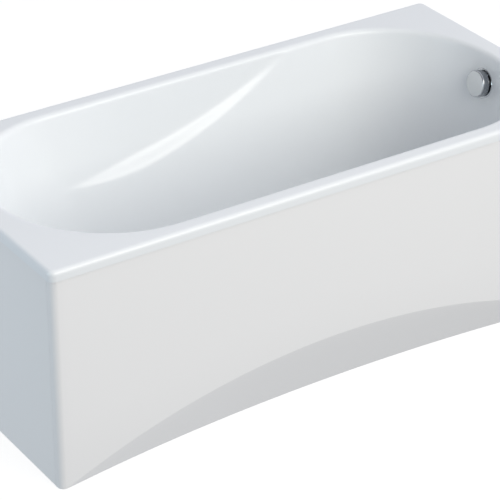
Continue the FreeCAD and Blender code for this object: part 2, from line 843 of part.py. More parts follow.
def drain_flange():
    """The chromed grating: a coned mouth, a collar and a three-armed guide for the plug's stem."""
    neck_bottom = seat_top - flange_collar_height
    cone_bottom = floor_top - flange_cone_height
    profile = [
        (flange_bore_radius, neck_bottom),
        (flange_collar_radius, neck_bottom),
        (flange_collar_radius, seat_top - flange_neck_height),
        (flange_neck_radius, seat_top),
        (flange_radius, seat_top),
        (flange_radius, seat_top + flange_edge),
        (flange_top_radius, floor_top),
        (flange_mouth_radius, floor_top),
        (flange_bore_radius, cone_bottom),
    ]
    ring = at_drain(profile)
    hub_base = drain_axis + ALONG_Z * neck_bottom
    arms = [cylinder(spider_boss_radius, hub_base, ALONG_Z, spider_height)]
    for i in range(spider_arm_count):
        half = spider_arm_width / 2
        reach = (flange_bore_radius + flange_collar_radius) / 2
        arm = box(0, reach, -half, half, neck_bottom, neck_bottom + spider_height)
        arm.rotate(Vector(), ALONG_Z, 360 / spider_arm_count * i)
        arms.append(moved(arm, drain_axis))
    stem_hole = cylinder(plug_stem_radius + stem_clearance, drain_axis, ALONG_Z, rim_height)
    return fused([ring] + arms).cut(stem_hole)


def drain_gasket():
    base = drain_axis + ALONG_Z * gasket_under
    return tube(waste_flange_radius, drain_hole_radius, base, ALONG_Z, drain_gasket_height)


def plug():
    """The pop-up plug: a domed cap, a core for the seal and a long stem."""
    rim_radius = flange_mouth_radius - plug_gap
    cone_share = (flange_mouth_radius - flange_bore_radius) / flange_cone_height
    skirt_radius = rim_radius - cone_share * plug_skirt_height
    core_bottom = floor_top - plug_core_height
    crown = Vector(0, 0, floor_top + plug_edge_height + plug_dome_height)
    edge = Vector(rim_radius, 0, floor_top + plug_edge_height)
    dome_radius = (rim_radius ** 2 + plug_dome_height ** 2) / (2 * plug_dome_height)
    half_turn = math.asin(rim_radius / dome_radius) / 2
    halfway = crown + Vector(math.sin(half_turn), 0, math.cos(half_turn) - 1) * dome_radius
    bow = Part.Arc(edge, halfway, crown).toShape()
    profile = [
        crown,
        Vector(0, 0, stem_bottom),
        Vector(plug_stem_radius, 0, stem_bottom),
        Vector(plug_stem_radius, 0, core_bottom),
        Vector(plug_core_radius, 0, core_bottom),
        Vector(plug_core_radius, 0, plug_seat),
        Vector(skirt_radius, 0, plug_seat),
        Vector(rim_radius, 0, floor_top),
        edge,
    ]
    wire = Part.Wire([bow] + Part.makePolygon(profile).Edges)
    return moved(Part.Face(wire).revolve(Vector(), ALONG_Z, 360), drain_axis)


def plug_seal():
    """The rubber ring on the plug's core, just clear of the flange's cone."""
    cone_share = (flange_mouth_radius - flange_bore_radius) / flange_cone_height
    bottom = plug_seat - plug_seal_height
    cone_radius = flange_bore_radius + cone_share * (bottom - floor_top + flange_cone_height)
    outer = cone_radius - plug_seal_gap
    return tube(outer, plug_core_radius, drain_axis + ALONG_Z * bottom, ALONG_Z, plug_seal_height)


def waste_body():
    """The cup under the drain, with its threaded neck, bottom spigot, overflow port and cable gland."""
    neck_bottom = gasket_under - waste_neck_height
    inner = waste_radius - waste_wall
    floor_z = waste_bottom + waste_wall
    bore = spigot_radius - spigot_wall
    profile = [
        (waste_neck_bore_radius, gasket_under),
        (waste_flange_radius, gasket_under),
        (waste_flange_radius, gasket_under - waste_flange_height),
        (waste_radius, gasket_under - waste_flange_height),
        (waste_radius, waste_bottom),
        (spigot_radius, waste_bottom),
        (spigot_radius, spigot_bottom),
        (bore, spigot_bottom),
        (bore, floor_z),
        (inner, floor_z),
        (inner, neck_bottom),
        (waste_neck_bore_radius, neck_bottom),
    ]
    cup = at_drain(profile)
    centre = drain_axis + ALONG_Z * port_z
    gland_centre = drain_axis + Vector(0, lever_y, gland_z)
    port = cylinder(overflow_spigot_radius, centre, ALONG_X, port_length)
    gland = cylinder(gland_radius, gland_centre, ALONG_Y, waste_radius + gland_length - lever_y)
    room = at_drain([
        (0, floor_z),
        (inner, floor_z),
        (inner, neck_bottom),
        (waste_neck_bore_radius, neck_bottom),
        (waste_neck_bore_radius, gasket_under),
        (0, gasket_under),
    ])
    cup = fused([cup, fused([port, gland]).cut(room)])
    port_bore = cylinder(overflow_pipe_radius - overflow_pipe_wall, centre, ALONG_X, port_length)
    seat_start = centre + ALONG_X * (port_length - overflow_pipe_seat)
    port_seat = cylinder(overflow_pipe_radius, seat_start, ALONG_X, port_length)
    gland_bore = cylinder(cable_radius, gland_centre, ALONG_Y, tub_width)
    return cut_all(cup, [port_bore, port_seat, gland_bore, lever_pin()])


def lever_pin():
    start = Vector(drain_x - lever_pin_length / 2, lever_y, lever_z)
    return cylinder(lever_pin_radius, start, ALONG_X, lever_pin_length)


def lifter_lever():
    """The bell crank under the plug's stem, tipped down while the plug is closed."""
    half = lever_width / 2
    tip = Vector(-half, lever_reach, 0)
    tail = Vector(-half, 0, -lever_cable_reach)
    hub = cylinder(lever_hub_radius, Vector(-half, 0, 0), ALONG_X, lever_width)
    tip_roll = cylinder(lever_tip_radius, tip, ALONG_X, lever_width)
    tail_roll = cylinder(lever_cable_tip_radius, tail, ALONG_X, lever_width)
    half_arm = lever_arm_width / 2
    arm = box(-half, half, 0, lever_reach, -half_arm, half_arm)
    leg = box(-half, half, -half_arm, half_arm, -lever_cable_reach, 0)
    crank = fused([hub, tip_roll, tail_roll, arm, leg])
    pin_hole_radius = lever_pin_radius + lever_clearance
    crank = crank.cut(cylinder(pin_hole_radius, Vector(-half, 0, 0), ALONG_X, lever_width))
    crank.rotate(Vector(), ALONG_X, -lever_half_turn)
    return moved(crank, Vector(drain_x, lever_y, lever_z))


# Trap and outlet

def union_nut(bore, height, step_bore):
    """An eight-sided union nut about +Z, with a collar below the origin where it grips a thinner pipe."""
    corner_reach = union_nut_radius / math.cos(math.radians(180 / union_nut_sides))
    start = union_nut_step if step_bore < bore else 0
    corners = [
        Vector(corner_reach * math.cos(turn), corner_reach * math.sin(turn), -start)
        for turn in [2 * math.pi * i / union_nut_sides for i in range(union_nut_sides)]
    ]
    nut = prism(corners, ALONG_Z * (start + height)).cut(cylinder(bore, Vector(), ALONG_Z, height))
    return nut.cut(cylinder(step_bore, -ALONG_Z * height, ALONG_Z, 2 * height))


def union_nuts():
    """The nuts at the trap's neck, its outlet and both ends of the overflow pipe."""
    neck = union_nut(spigot_radius, union_nut_height, spigot_radius)
    neck = moved(neck, drain_axis + ALONG_Z * (spigot_bottom - union_nut_height / 2))
    outlet = union_nut(outlet_socket_radius, outlet_nut_height, outlet_pipe_radius)
    outlet.rotate(Vector(), ALONG_X, 90)
    outlet = moved(outlet, drain_axis + Vector(0, outlet_socket_length, outlet_height))
    upper = union_nut(overflow_spigot_radius, overflow_nut_height, overflow_pipe_radius)
    lower = upper.copy()
    upper = moved(upper, overflow_pipe_top - ALONG_Z * overflow_spigot_drop)
    lower.rotate(Vector(), ALONG_Y, -90)
    lower = moved(lower, Vector(drain_x + port_length, 0, port_z))
    return Part.makeCompound([neck, outlet, upper, lower])


def trap_body():
    """A cup trap: a neck with a dip tube, an open-bottomed cup and a side outlet."""
    inner = trap_radius - trap_wall
    dip_inner = trap_dip_radius - trap_dip_wall
    profile = [
        (dip_inner, spigot_bottom),
        (spigot_radius, spigot_bottom),
        (spigot_radius, trap_top),
        (trap_radius, trap_top),
        (trap_radius, trap_bottom_height),
        (inner, trap_bottom_height),
        (inner, trap_top - trap_wall),
        (trap_dip_radius, trap_top - trap_wall),
        (trap_dip_radius, trap_dip_height),
        (dip_inner, trap_dip_height),
    ]
    centre = drain_axis + ALONG_Z * outlet_height
    socket = cylinder(outlet_socket_radius, centre, ALONG_Y, outlet_socket_length)
    room = at_drain([(0, 0), (inner, 0), (inner, trap_top - trap_wall), (0, trap_top - trap_wall)])
    body = fused([at_drain(profile), socket.cut(room)])
    bore = cylinder(outlet_pipe_radius - outlet_pipe_wall, centre, ALONG_Y, outlet_socket_length)
    dip_base = drain_axis + ALONG_Z * trap_dip_height
    dip_room = cylinder(trap_dip_radius, dip_base, ALONG_Z, trap_top - trap_dip_height)
    seat_start = centre + ALONG_Y * (outlet_socket_length - outlet_socket_depth)
    seat = cylinder(outlet_pipe_radius, seat_start, ALONG_Y, outlet_socket_depth)
    return cut_all(body, [bore.cut(dip_room), seat])


def trap_cap():
    """The screw cap that closes the trap's cup from below."""
    bottom = trap_cap_floor_height
    top = bottom + trap_cap_height
    inner = trap_radius
    profile = [
        (0, bottom),
        (trap_cap_radius, bottom),
        (trap_cap_radius, top),
        (inner, top),
        (inner, trap_bottom_height),
        (inner - trap_wall, trap_bottom_height),
        (inner - trap_wall, bottom + trap_wall),
        (0, bottom + trap_wall),
    ]
    return at_drain(profile)


def outlet_pipe():
    """The pipe towards the wall, with a bead that stops the drain coupling on its free end."""
    start = drain_axis + Vector(0, outlet_socket_length - outlet_socket_depth, outlet_height)
    length = tub_width / 2 - outlet_wall_gap - start.y
    bead_start = start + ALONG_Y * (length - outlet_free_length - outlet_bead_length)
    pipe = cylinder(outlet_pipe_radius, start, ALONG_Y, length)
    bead = cylinder(outlet_pipe_radius + outlet_bead_height, bead_start, ALONG_Y, outlet_bead_length)
    bore = cylinder(outlet_pipe_radius - outlet_pipe_wall, start, ALONG_Y, length)
    return fused([pipe, bead]).cut(bore)


# Overflow

def on_overflow(solid):
    """Places a solid modelled about +Z on the overflow's axis, z = 0 on the wall's inner face."""
    copy = solid.copy()
    copy.Placement = overflow_place
    return copy


def overflow_flange():
    """The ring inside the basin, with three spokes and a hub that carry the knob's spindle."""
    bore = overflow_collar_radius - overflow_collar_wall
    ring = turned([
        (bore, -overflow_collar_height),
        (overflow_collar_radius, -overflow_collar_height),
        (overflow_collar_radius, 0),
        (overflow_flange_radius, 0),
        (overflow_flange_radius, overflow_flange_height / 2),
        (overflow_flange_radius - overflow_flange_height, overflow_flange_height),
        (bore, overflow_flange_height),
    ])
    back = -ALONG_Z * overflow_collar_height
    pieces = [ring, cylinder(overflow_hub_radius, back, ALONG_Z, overflow_collar_height)]
    for i in range(overflow_spoke_count):
        half = overflow_spoke_width / 2
        reach = bore + overflow_collar_wall / 2
        spoke = box(0, reach, -half, half, -overflow_collar_height, 0)
        spoke.rotate(Vector(), ALONG_Z, 360 / overflow_spoke_count * i)
        pieces.append(spoke)
    hole = cylinder(spindle_radius + spindle_clearance, back, ALONG_Z, rim_height)
    return on_overflow(fused(pieces).cut(hole))


def overflow_gasket():
    height = overflow_gasket_height
    base = -ALONG_Z * (overflow_pad_wall + height)
    return on_overflow(tube(overflow_body_flange_radius, overflow_hole_radius, base, ALONG_Z, height))


def overflow_body():
    """The cup behind the end wall, with a spigot down to the overflow pipe and a cable gland."""
    top = -overflow_pad_wall - overflow_gasket_height
    bottom = top - overflow_body_flange_height - overflow_body_depth
    floor = bottom + overflow_body_wall
    inner = overflow_body_radius - overflow_body_wall
    cup = on_overflow(turned([
        (inner, top),
        (overflow_body_flange_radius, top),
        (overflow_body_flange_radius, top - overflow_body_flange_height),
        (overflow_body_radius, top - overflow_body_flange_height),
        (overflow_body_radius, bottom),
        (0, bottom),
        (0, floor),
        (inner, floor),
    ]))
    room = on_overflow(turned([(0, floor), (inner, floor), (inner, top), (0, top)]))
    centre = overflow_pipe_top
    spigot = cylinder(overflow_spigot_radius, centre, -ALONG_Z, overflow_spigot_drop)
    gland_centre = centre - ALONG_Z * drum_radius
    gland = cylinder(gland_radius, gland_centre, ALONG_Y, overflow_body_radius + gland_length)
    cup = fused([cup, fused([spigot, gland]).cut(room)])
    bore = cylinder(overflow_pipe_radius - overflow_pipe_wall, centre, -ALONG_Z, overflow_spigot_drop)
    seat_top_point = centre - ALONG_Z * (overflow_spigot_drop - overflow_pipe_seat)
    seat = cylinder(overflow_pipe_radius, seat_top_point, -ALONG_Z, overflow_spigot_drop)
    return cut_all(cup, [bore, seat, cylinder(cable_radius, gland_centre, ALONG_Y, tub_width)])


def overflow_knob():
    """The round knob, hollow behind, with a vent in its edge for the overflowing water."""
    near, far = overflow_flange_height + knob_gap, overflow_flange_height + knob_gap + knob_depth
    drum = cylinder(knob_radius, ALONG_Z * near, ALONG_Z, knob_depth)
    drum = drum.makeChamfer(knob_edge_chamfer, edges_at_height(drum, far, tub_length, tub_width))
    hollow_depth = knob_depth - knob_edge_chamfer
    drum = drum.cut(cylinder(knob_radius - knob_wall, ALONG_Z * near, ALONG_Z, hollow_depth))
    hub = cylinder(knob_hub_radius, ALONG_Z * near, ALONG_Z, knob_depth - knob_wall)
    half = knob_vent_width / 2
    vent = box(-knob_radius, -knob_hub_radius, -half, half, near, near + knob_vent_height)
    socket = cylinder(spindle_radius, Vector(), ALONG_Z, near + knob_depth / 2)
    return on_overflow(fused([drum, hub]).cut(vent).cut(socket))


def overflow_spindle():
    """The spindle through the flange's hub, with the drum that pulls the cable."""
    top = overflow_flange_height + knob_gap + knob_depth / 2
    drum_top = -overflow_pad_wall - drum_gap
    bottom = drum_top - drum_height
    rod = cylinder(spindle_radius, ALONG_Z * bottom, ALONG_Z, top - bottom)
    return on_overflow(fused([rod, cylinder(drum_radius, ALONG_Z * bottom, ALONG_Z, drum_height)]))


def overflow_pipe():
    """The pipe from the overflow down and across to the waste body, in one bend."""
    top = overflow_pipe_top - ALONG_Z * (overflow_spigot_drop - overflow_pipe_seat)
    end = Vector(drain_x + port_length - overflow_pipe_seat, 0, port_z)
    route = [top, Vector(top.x, 0, port_z), end]
    outer = swept(route, overflow_pipe_radius, overflow_bend_radius)
    return outer.cut(swept(route, overflow_pipe_radius - overflow_pipe_wall, overflow_bend_radius))


nodes = {
    "tub_shell": tub_shell,
    "laminate_tray": laminate_tray,
    "base_board": base_board,
    "rim_battens": rim_battens,
    "board_screws": board_screws,
    "front_panel": front_panel,
    "end_panel": end_panel,
    "corner_angle": corner_angle,
    "front_clips": front_clips,
    "end_clips": end_clips,
    "drain_flange": drain_flange,
    "drain_gasket": drain_gasket,
    "drain_plug": plug,
    "plug_seal": plug_seal,
    "waste_body": waste_body,
    "lever_pin": lever_pin,
    "lifter_lever": lifter_lever,
    "trap_body": trap_body,
    "trap_cap": trap_cap,
    "outlet_pipe": outlet_pipe,
    "union_nuts": union_nuts,
    "overflow_flange": overflow_flange,
    "overflow_gasket": overflow_gasket,
    "overflow_body": overflow_body,
    "overflow_knob": overflow_knob,
    "overflow_spindle": overflow_spindle,
    "overflow_pipe": overflow_pipe,
}

os.makedirs("parts", exist_ok=True)
shapes = {name: make() for name, make in nodes.items()}
for end, x in zip(("head", "foot"), spread(2, crossbar_spacing)):
    shapes["crossbar_" + end] = crossbar(x)
    shapes["crossbar_nuts_" + end] = crossbar_nuts(x)
    shapes["panel_arm_" + end] = panel_arm(x)
    shapes["arm_pad_" + end] = arm_pad(x)
    shapes["arm_bolts_" + end] = arm_bolts(x)
    for side, y in zip(("front", "rear"), spread(2, foot_spacing)):
        shapes["leg_rod_" + end + "_" + side] = leg_rod(x, y)
        shapes["foot_pad_" + end + "_" + side] = foot_pad(x, y)
for end, x in zip(("head", "foot"), spread(2, wall_clip_spacing)):
    shapes["wall_clip_" + end] = wall_clip(x)
for name, shape in shapes.items():
    shape.exportStep("parts/" + name + ".step")
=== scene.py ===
import bpy
import math
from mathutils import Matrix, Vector


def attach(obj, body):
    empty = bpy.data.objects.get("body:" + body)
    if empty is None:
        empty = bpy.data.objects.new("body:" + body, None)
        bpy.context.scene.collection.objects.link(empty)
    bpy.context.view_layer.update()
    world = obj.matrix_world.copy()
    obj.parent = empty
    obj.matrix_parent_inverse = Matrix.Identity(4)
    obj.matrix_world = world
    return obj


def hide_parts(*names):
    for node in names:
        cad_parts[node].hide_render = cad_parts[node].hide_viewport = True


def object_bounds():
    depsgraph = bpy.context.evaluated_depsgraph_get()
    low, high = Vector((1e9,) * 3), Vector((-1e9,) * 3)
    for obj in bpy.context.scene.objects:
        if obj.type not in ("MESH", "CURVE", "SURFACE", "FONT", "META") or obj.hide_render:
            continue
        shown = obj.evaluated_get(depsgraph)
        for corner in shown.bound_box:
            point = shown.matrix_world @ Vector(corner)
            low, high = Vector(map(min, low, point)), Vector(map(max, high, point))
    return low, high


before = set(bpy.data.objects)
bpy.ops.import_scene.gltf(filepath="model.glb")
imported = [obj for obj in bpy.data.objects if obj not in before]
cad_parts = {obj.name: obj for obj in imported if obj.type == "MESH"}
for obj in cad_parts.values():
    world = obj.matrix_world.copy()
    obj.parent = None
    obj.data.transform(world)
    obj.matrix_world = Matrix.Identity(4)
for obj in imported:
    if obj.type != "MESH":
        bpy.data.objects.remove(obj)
solid_low, solid_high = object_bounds()
bpy.ops.object.select_all(action="DESELECT")


# Camera. A long lens looks down on the panelled front and the backrest end, as a catalogue
# picture of a bathtub does; the foot end and part of the floor line run out of the frame.
camera_place = (-2.832, -4.263, 3.1287)
camera_tilt = 60.359
camera_turn = -33.45
camera_reach = 50
lens_width = 36.0
frame_pixels = 500
focal_pixels = 2433.4

bpy.ops.object.camera_add(location=camera_place)
camera = bpy.context.object
camera.name = "camera"
camera.rotation_euler = (math.radians(camera_tilt), 0, math.radians(camera_turn))
camera.data.sensor_width = lens_width
camera.data.lens = focal_pixels / frame_pixels * lens_width
camera.data.clip_end = camera_reach
bpy.context.scene.camera = camera


# Studio floor: one broad sheet of white paper, lit from behind until it is plain white. It
# throws neither its own light on to the tub nor a shadow, and lies a hair under the feet.
floor_width = 60.0
floor_drop = 0.0005
floor_colour = "#7C7C7C"
floor_glow = 0.85


def linear(hex_colour):
    """The linear RGBA of an sRGB hex colour."""
    shares = [int(hex_colour[i:i + 2], 16) / 255 for i in (1, 3, 5)]
    return [s / 12.92 if s <= 0.04045 else ((s + 0.055) / 1.055) ** 2.4 for s in shares] + [1]


def add_node(material, kind, settings=None, **links):
    """Adds a shader node: settings go to its properties or sockets, links name its sockets' sources."""
    node = material.node_tree.nodes.new(kind)
    for key, value in (settings or {}).items():
        if hasattr(node, key):
            setattr(node, key, value)
        else:
            node.inputs[key].default_value = value
    for key, source in links.items():
        material.node_tree.links.new(source, node.inputs[key.replace("_", " ")])
    return node


def new_material(name, colour, settings):
    """A named material and its Principled shader; the base colour is a hex value."""
    material = bpy.data.materials.new(name)
    material.use_nodes = True
    shader = material.node_tree.nodes["Principled BSDF"]
    shader.inputs["Base Color"].default_value = linear(colour)
    for key, value in settings.items():
        shader.inputs[key].default_value = value
    return material, shader


paper, _ = new_material("studio_paper", floor_colour, {
    "Roughness": 0.9,
    "Specular IOR Level": 0.1,
    "Emission Color": (1, 1, 1, 1),
    "Emission Strength": floor_glow,
})
bpy.ops.mesh.primitive_plane_add(size=floor_width, location=(0, 0, -floor_drop))
studio_floor = bpy.context.object
studio_floor.name = "studio_floor"
studio_floor.data.materials.append(paper)
studio_floor.visible_diffuse = False
studio_floor.visible_shadow = False


# Studio light: a tent with a bright ceiling and a dim floor, brighter towards the foot end, one
# broad soft box high in front and a little to the right, and a weak cool one on the backrest end.
tent_high_colour = "#F5F7FF"
tent_low_colour = "#E0ECFF"
tent_high = 0.676
tent_low = 0.248
tent_blend = 0.12
tent_slant = 0.65
key_place = (0.80, -5.20, 3.40)
key_target = (0, 0, 0.4)
key_size = (5.2, 3.6)
key_power = 242
key_colour = "#FFFCF2"
fill_place = (-3.20, 0.30, 0.60)
fill_target = (-0.7, 0, 0.3)
fill_size = (1.6, 1.0)
fill_power = 27
fill_colour = "#E3F5FF"

world = bpy.data.worlds.new("light_tent")
bpy.context.scene.world = world
world.use_nodes = True
background = world.node_tree.nodes["Background"]
sky = add_node(world, "ShaderNodeTexCoord").outputs["Generated"]
way = add_node(world, "ShaderNodeSeparateXYZ", None, Vector=sky)
height = add_node(world, "ShaderNodeMapRange", {
    "From Min": -tent_blend, "From Max": tent_blend,
    "interpolation_type": "SMOOTHSTEP"}, Value=way.outputs["Z"])
tone = add_node(world, "ShaderNodeValToRGB", None, Fac=height.outputs["Result"])
tone.color_ramp.elements[0].color = [share * tent_low for share in linear(tent_low_colour)[:3]] + [1]
tone.color_ramp.elements[1].color = [share * tent_high for share in linear(tent_high_colour)[:3]] + [1]
slant = add_node(world, "ShaderNodeMapRange", {
    "From Min": -1, "From Max": 1,
    "To Min": 1 - tent_slant, "To Max": 1 + tent_slant}, Value=way.outputs["X"])
world.node_tree.links.new(tone.outputs["Color"], background.inputs["Color"])
world.node_tree.links.new(slant.outputs["Result"], background.inputs["Strength"])


def soft_box(name, place, target, size, power, colour):
    """A rectangular lamp aimed at a point."""
    bpy.ops.object.light_add(type="AREA", location=place)
    lamp = bpy.context.object
    lamp.name = name
    lamp.data.shape = "RECTANGLE"
    lamp.data.size, lamp.data.size_y = size
    lamp.data.energy = power
    lamp.data.color = linear(colour)[:3]
    lamp.rotation_euler = (Vector(target) - Vector(place)).to_track_quat("-Z", "Y").to_euler()
    lamp.visible_camera = False


soft_box("key_soft_box", key_place, key_target, key_size, key_power, key_colour)
soft_box("fill_soft_box", fill_place, fill_target, fill_size, fill_power, fill_colour)
bpy.context.scene.view_settings.view_transform = "Standard"
bpy.ops.object.select_all(action="DESELECT")


# Tub shell: one sheet of white cast acrylic, vacuum-formed over a mould into a turned-down
# lip, a flat rim, a long basin with a leaning backrest and two falling armrests. A rough
# glass-fibre backing covers its underside.
lip_drop = 0.025
lip_corner = 0.016
least_corner = 0.001
lip_round = 0.010
mouth_round = 0.014
head_mouth_round = 0.032
mouth_blend = 1.2
quarter_shares = (0.4, 0.2, 0.4)
sheet_wall = 0.0045
floor_level = 0.165
floor_round = 0.060
half_mouth = 0.305
head_mouth_x = -0.690
foot_mouth_x = 0.695
head_centres = (-0.400, -0.270)
foot_centres = (0.430, 0.425)
side_lean_angle = 10.8
head_lean_angle = 26.6
ledge_low_x = -0.410
ledge_dip_x = -0.340
ledge_fade_x = -0.120
ledge_top_x = 0.300
ledge_low_z = 0.368
ledge_rise = 0.46
ledge_least_band = 0.008
ledge_band_share = 1.80
ledge_lean = 0.122
support_gap = 0.002
side_steps = 72
end_steps = 12
corner_steps = 6
wall_steps = 56
round_steps = 6
floor_steps = 8
floor_rings = 7
floor_spine = (-0.15, 0.45)
merge_gap = 0.00001
cut_reach = 0.1
shade_angle = 35
pattern_low = 0.3
pattern_high = 0.7
polish_size = 0.060
waver_size = 0.050
waver_depth = 0.00001
strand_patches = (0.021, 0.029, 0.037)
strand_width = 0.0016
strand_length = 0.022
strand_depth = 0.0005

half_length, half_width, rim_level = solid_high
basin_depth = rim_level - floor_level
side_lean = math.tan(math.radians(side_lean_angle))
head_lean = math.tan(math.radians(head_lean_angle))
steps = {0: side_steps, 1: end_steps, 2: corner_steps, 3: end_steps}
overflow_depth = 0.077
overflow_turn = math.radians(side_lean_angle)
overflow_axis = Vector((-math.cos(overflow_turn), 0, math.sin(overflow_turn)))
overflow_centre = Vector((foot_mouth_x - side_lean * overflow_depth, 0, rim_level - overflow_depth))
overflow_flat = 0.042
overflow_blend = 0.030
overflow_hole = 0.026
drain_x = 0.500
drain_centre = Vector((drain_x, 0, floor_level))
drain_hole = 0.026
drain_seat = 0.0365
drain_seat_depth = 0.0025
drain_boss = 0.045
drain_boss_drop = 0.0095


def smooth_step(share):
    """A share between 0 and 1 that starts and ends gently."""
    share = min(max(share, 0), 1)
    return share * share * (3 - 2 * share)


def stations():
    """Places all round the tub, as (side sign, end sign, part, share): part 0 runs along a side,
    1 on to the rim's corner, 2 round it and 3 across the end to its middle."""
    def leg(side_sign, end_sign, parts, back):
        shares = [(part, i / steps[part]) for part in parts for i in range(steps[part])]
        return [(side_sign, end_sign, part, 1 - share if back else share) for part, share in shares]
    foot = leg(1, 1, (1, 2, 3), False) + leg(-1, 1, (3, 2, 1), True)
    head = leg(-1, -1, (1, 2, 3), False) + leg(1, -1, (3, 2, 1), True)
    return leg(1, 1, (0,), False) + foot + leg(-1, 1, (0,), True) + head


def wall_point(station, depth):
    """A point of the basin's bare wall at a depth below the rim, with its outward normal."""
    side_sign, end_sign, part, share = station
    half = half_mouth - side_lean * depth
    head_x = head_centres[0] + (head_centres[1] - head_centres[0]) * depth / basin_depth
    foot_x = foot_centres[0] + (foot_centres[1] - foot_centres[0]) * depth / basin_depth
    height = Vector((0, 0, rim_level - depth))
    if part == 0:
        point = Vector((head_x + (foot_x - head_x) * share, side_sign * half, 0))
        return height + point, Vector((0, side_sign, 0))
    places = {1: share * steps[1], 2: steps[1] + share * steps[2], 3: steps[1] + steps[2] + share * steps[3]}
    turn = math.pi / 2 * places[part] / (steps[1] + steps[2] + steps[3])
    centre = foot_x if end_sign > 0 else head_x
    end = foot_mouth_x - side_lean * depth if end_sign > 0 else head_mouth_x + head_lean * depth
    reach = abs(end - centre)
    point = Vector((centre + end_sign * reach * math.sin(turn), side_sign * half * math.cos(turn), 0))
    normal = Vector((end_sign * math.sin(turn) / reach, side_sign * math.cos(turn) / half, 0)).normalized()
    return height + point, normal


def lip_point(station, inset, drop):
    """A point of the rim's outer rectangle, drawn in by an inset and dropped below the rim."""
    side_sign, end_sign, part, share = station
    corner = max(lip_corner - inset, least_corner)
    straight_x, straight_y = half_length - inset - corner, half_width - inset - corner
    centre = foot_centres[0] if end_sign > 0 else -head_centres[0]
    turn = math.pi / 2 * share
    if part == 0:
        x, y = head_centres[0] + (foot_centres[0] - head_centres[0]) * share, half_width - inset
        return Vector((x, side_sign * y, rim_level - drop))
    if part == 1:
        x, y = centre + (straight_x - centre) * share, half_width - inset
    elif part == 2:
        x, y = straight_x + corner * math.sin(turn), straight_y + corner * math.cos(turn)
    else:
        x, y = half_length - inset, straight_y * (1 - share)
    return Vector((end_sign * x, side_sign * y, rim_level - drop))


def ledge_push(x, depth):
    """How far the wall stands back over the falling armrest ledge."""
    if not ledge_low_x < x < ledge_top_x:
        return 0
    fade = smooth_step((x - ledge_low_x) / (ledge_fade_x - ledge_low_x))
    ledge_depth = rim_level - ledge_low_z - ledge_rise * (x - ledge_dip_x) ** 2
    band = ledge_least_band + ledge_band_share * ledge_lean * max(ledge_depth, 0) * fade
    return ledge_lean * depth * fade * smooth_step((ledge_depth + band / 2 - depth) / band)


def basin_point(station, depth, offset):
    """A point of the formed basin: the wall, moved out by an offset, the ledge and the overflow's flat."""
    point, normal = wall_point(station, depth)
    point += normal * (offset + ledge_push(point.x, depth))
    out = point - overflow_centre
    rise = out.dot(overflow_axis)
    away = (out - overflow_axis * rise).length
    flatness = smooth_step((overflow_flat + overflow_blend - away) / overflow_blend)
    return point - overflow_axis * rise * flatness


def shell_profile(station):
    """The shell's section at a station, from the bottom of the lip to the middle of the floor.
    Round the backrest the mouth's edge widens from the sides' round to a softer one."""
    _, end_sign, part, share = station
    run, turn_run, end_run = quarter_shares
    along = {0: 0, 1: share * run, 2: run + share * turn_run, 3: run + turn_run + share * end_run}[part]
    widening = smooth_step(along * mouth_blend) * (end_sign < 0)
    mouth = mouth_round + (head_mouth_round - mouth_round) * widening
    points = [lip_point(station, 0, lip_drop), lip_point(station, 0, lip_round + support_gap)]
    for i in range(round_steps + 1):
        turn = math.pi / 2 * i / round_steps
        points.append(lip_point(station, lip_round * (1 - math.cos(turn)), lip_round * (1 - math.sin(turn))))
    points.append(lip_point(station, lip_round + support_gap, 0))
    top, normal = wall_point(station, 0)
    lean = (top - wall_point(station, basin_depth)[0]).dot(normal) / basin_depth
    slant = math.atan(lean)
    crown = mouth * (1 / math.cos(slant) - lean)
    points.append(basin_point(station, 0, crown + support_gap))
    for i in range(round_steps):
        turn = math.pi / 2 + (math.pi / 2 - slant) * i / round_steps
        depth = mouth * (1 - math.sin(turn))
        points.append(basin_point(station, depth, crown + mouth * math.cos(turn) + lean * depth))
    wall_top = mouth * (1 - math.sin(slant))
    wall_bottom = basin_depth - floor_round * (1 - math.sin(slant))
    for i in range(wall_steps):
        points.append(basin_point(station, wall_top + (wall_bottom - wall_top) * i / wall_steps, 0))
    for i in range(floor_steps + 1):
        turn = slant + (math.pi / 2 - slant) * i / floor_steps
        depth = basin_depth - floor_round * (1 - math.sin(turn))
        climb = basin_depth - floor_round - depth
        inward = floor_round * (1 / math.cos(slant) - math.cos(turn)) + lean * climb
        points.append(basin_point(station, depth, -inward))
    edge = points[-1]
    spine = Vector((min(max(edge.x, floor_spine[0]), floor_spine[1]), 0, edge.z))
    points += [edge.lerp(spine, (i + 1) / floor_rings) for i in range(floor_rings)]
    return points


def in_edit_mode(step):
    """Runs one step on all of the active piece in edit mode."""
    bpy.ops.object.mode_set(mode="EDIT")
    bpy.ops.mesh.select_all(action="SELECT")
    step()
    bpy.ops.object.mode_set(mode="OBJECT")


def apply_modifier(piece, kind, **settings):
    """Adds a modifier to the active piece and applies it."""
    bpy.context.view_layer.objects.active = piece
    modifier = piece.modifiers.new(kind.lower(), kind)
    for key, value in settings.items():
        setattr(modifier, key, value)
    bpy.ops.object.modifier_apply(modifier=modifier.name)


def formed_sheet(name, columns, closed):
    """A sheet formed from a flat grid: each column of the grid is laid along one profile."""
    count, rows = len(columns) + closed, len(columns[0])
    bpy.ops.mesh.primitive_grid_add(x_subdivisions=count - 1, y_subdivisions=rows - 1, size=1)
    sheet = bpy.context.object
    sheet.name = name
    for i, vertex in enumerate(sheet.data.vertices):
        vertex.co = columns[i % count % len(columns)][i // count]
    if closed:
        in_edit_mode(lambda: bpy.ops.mesh.remove_doubles(threshold=merge_gap))
    return sheet


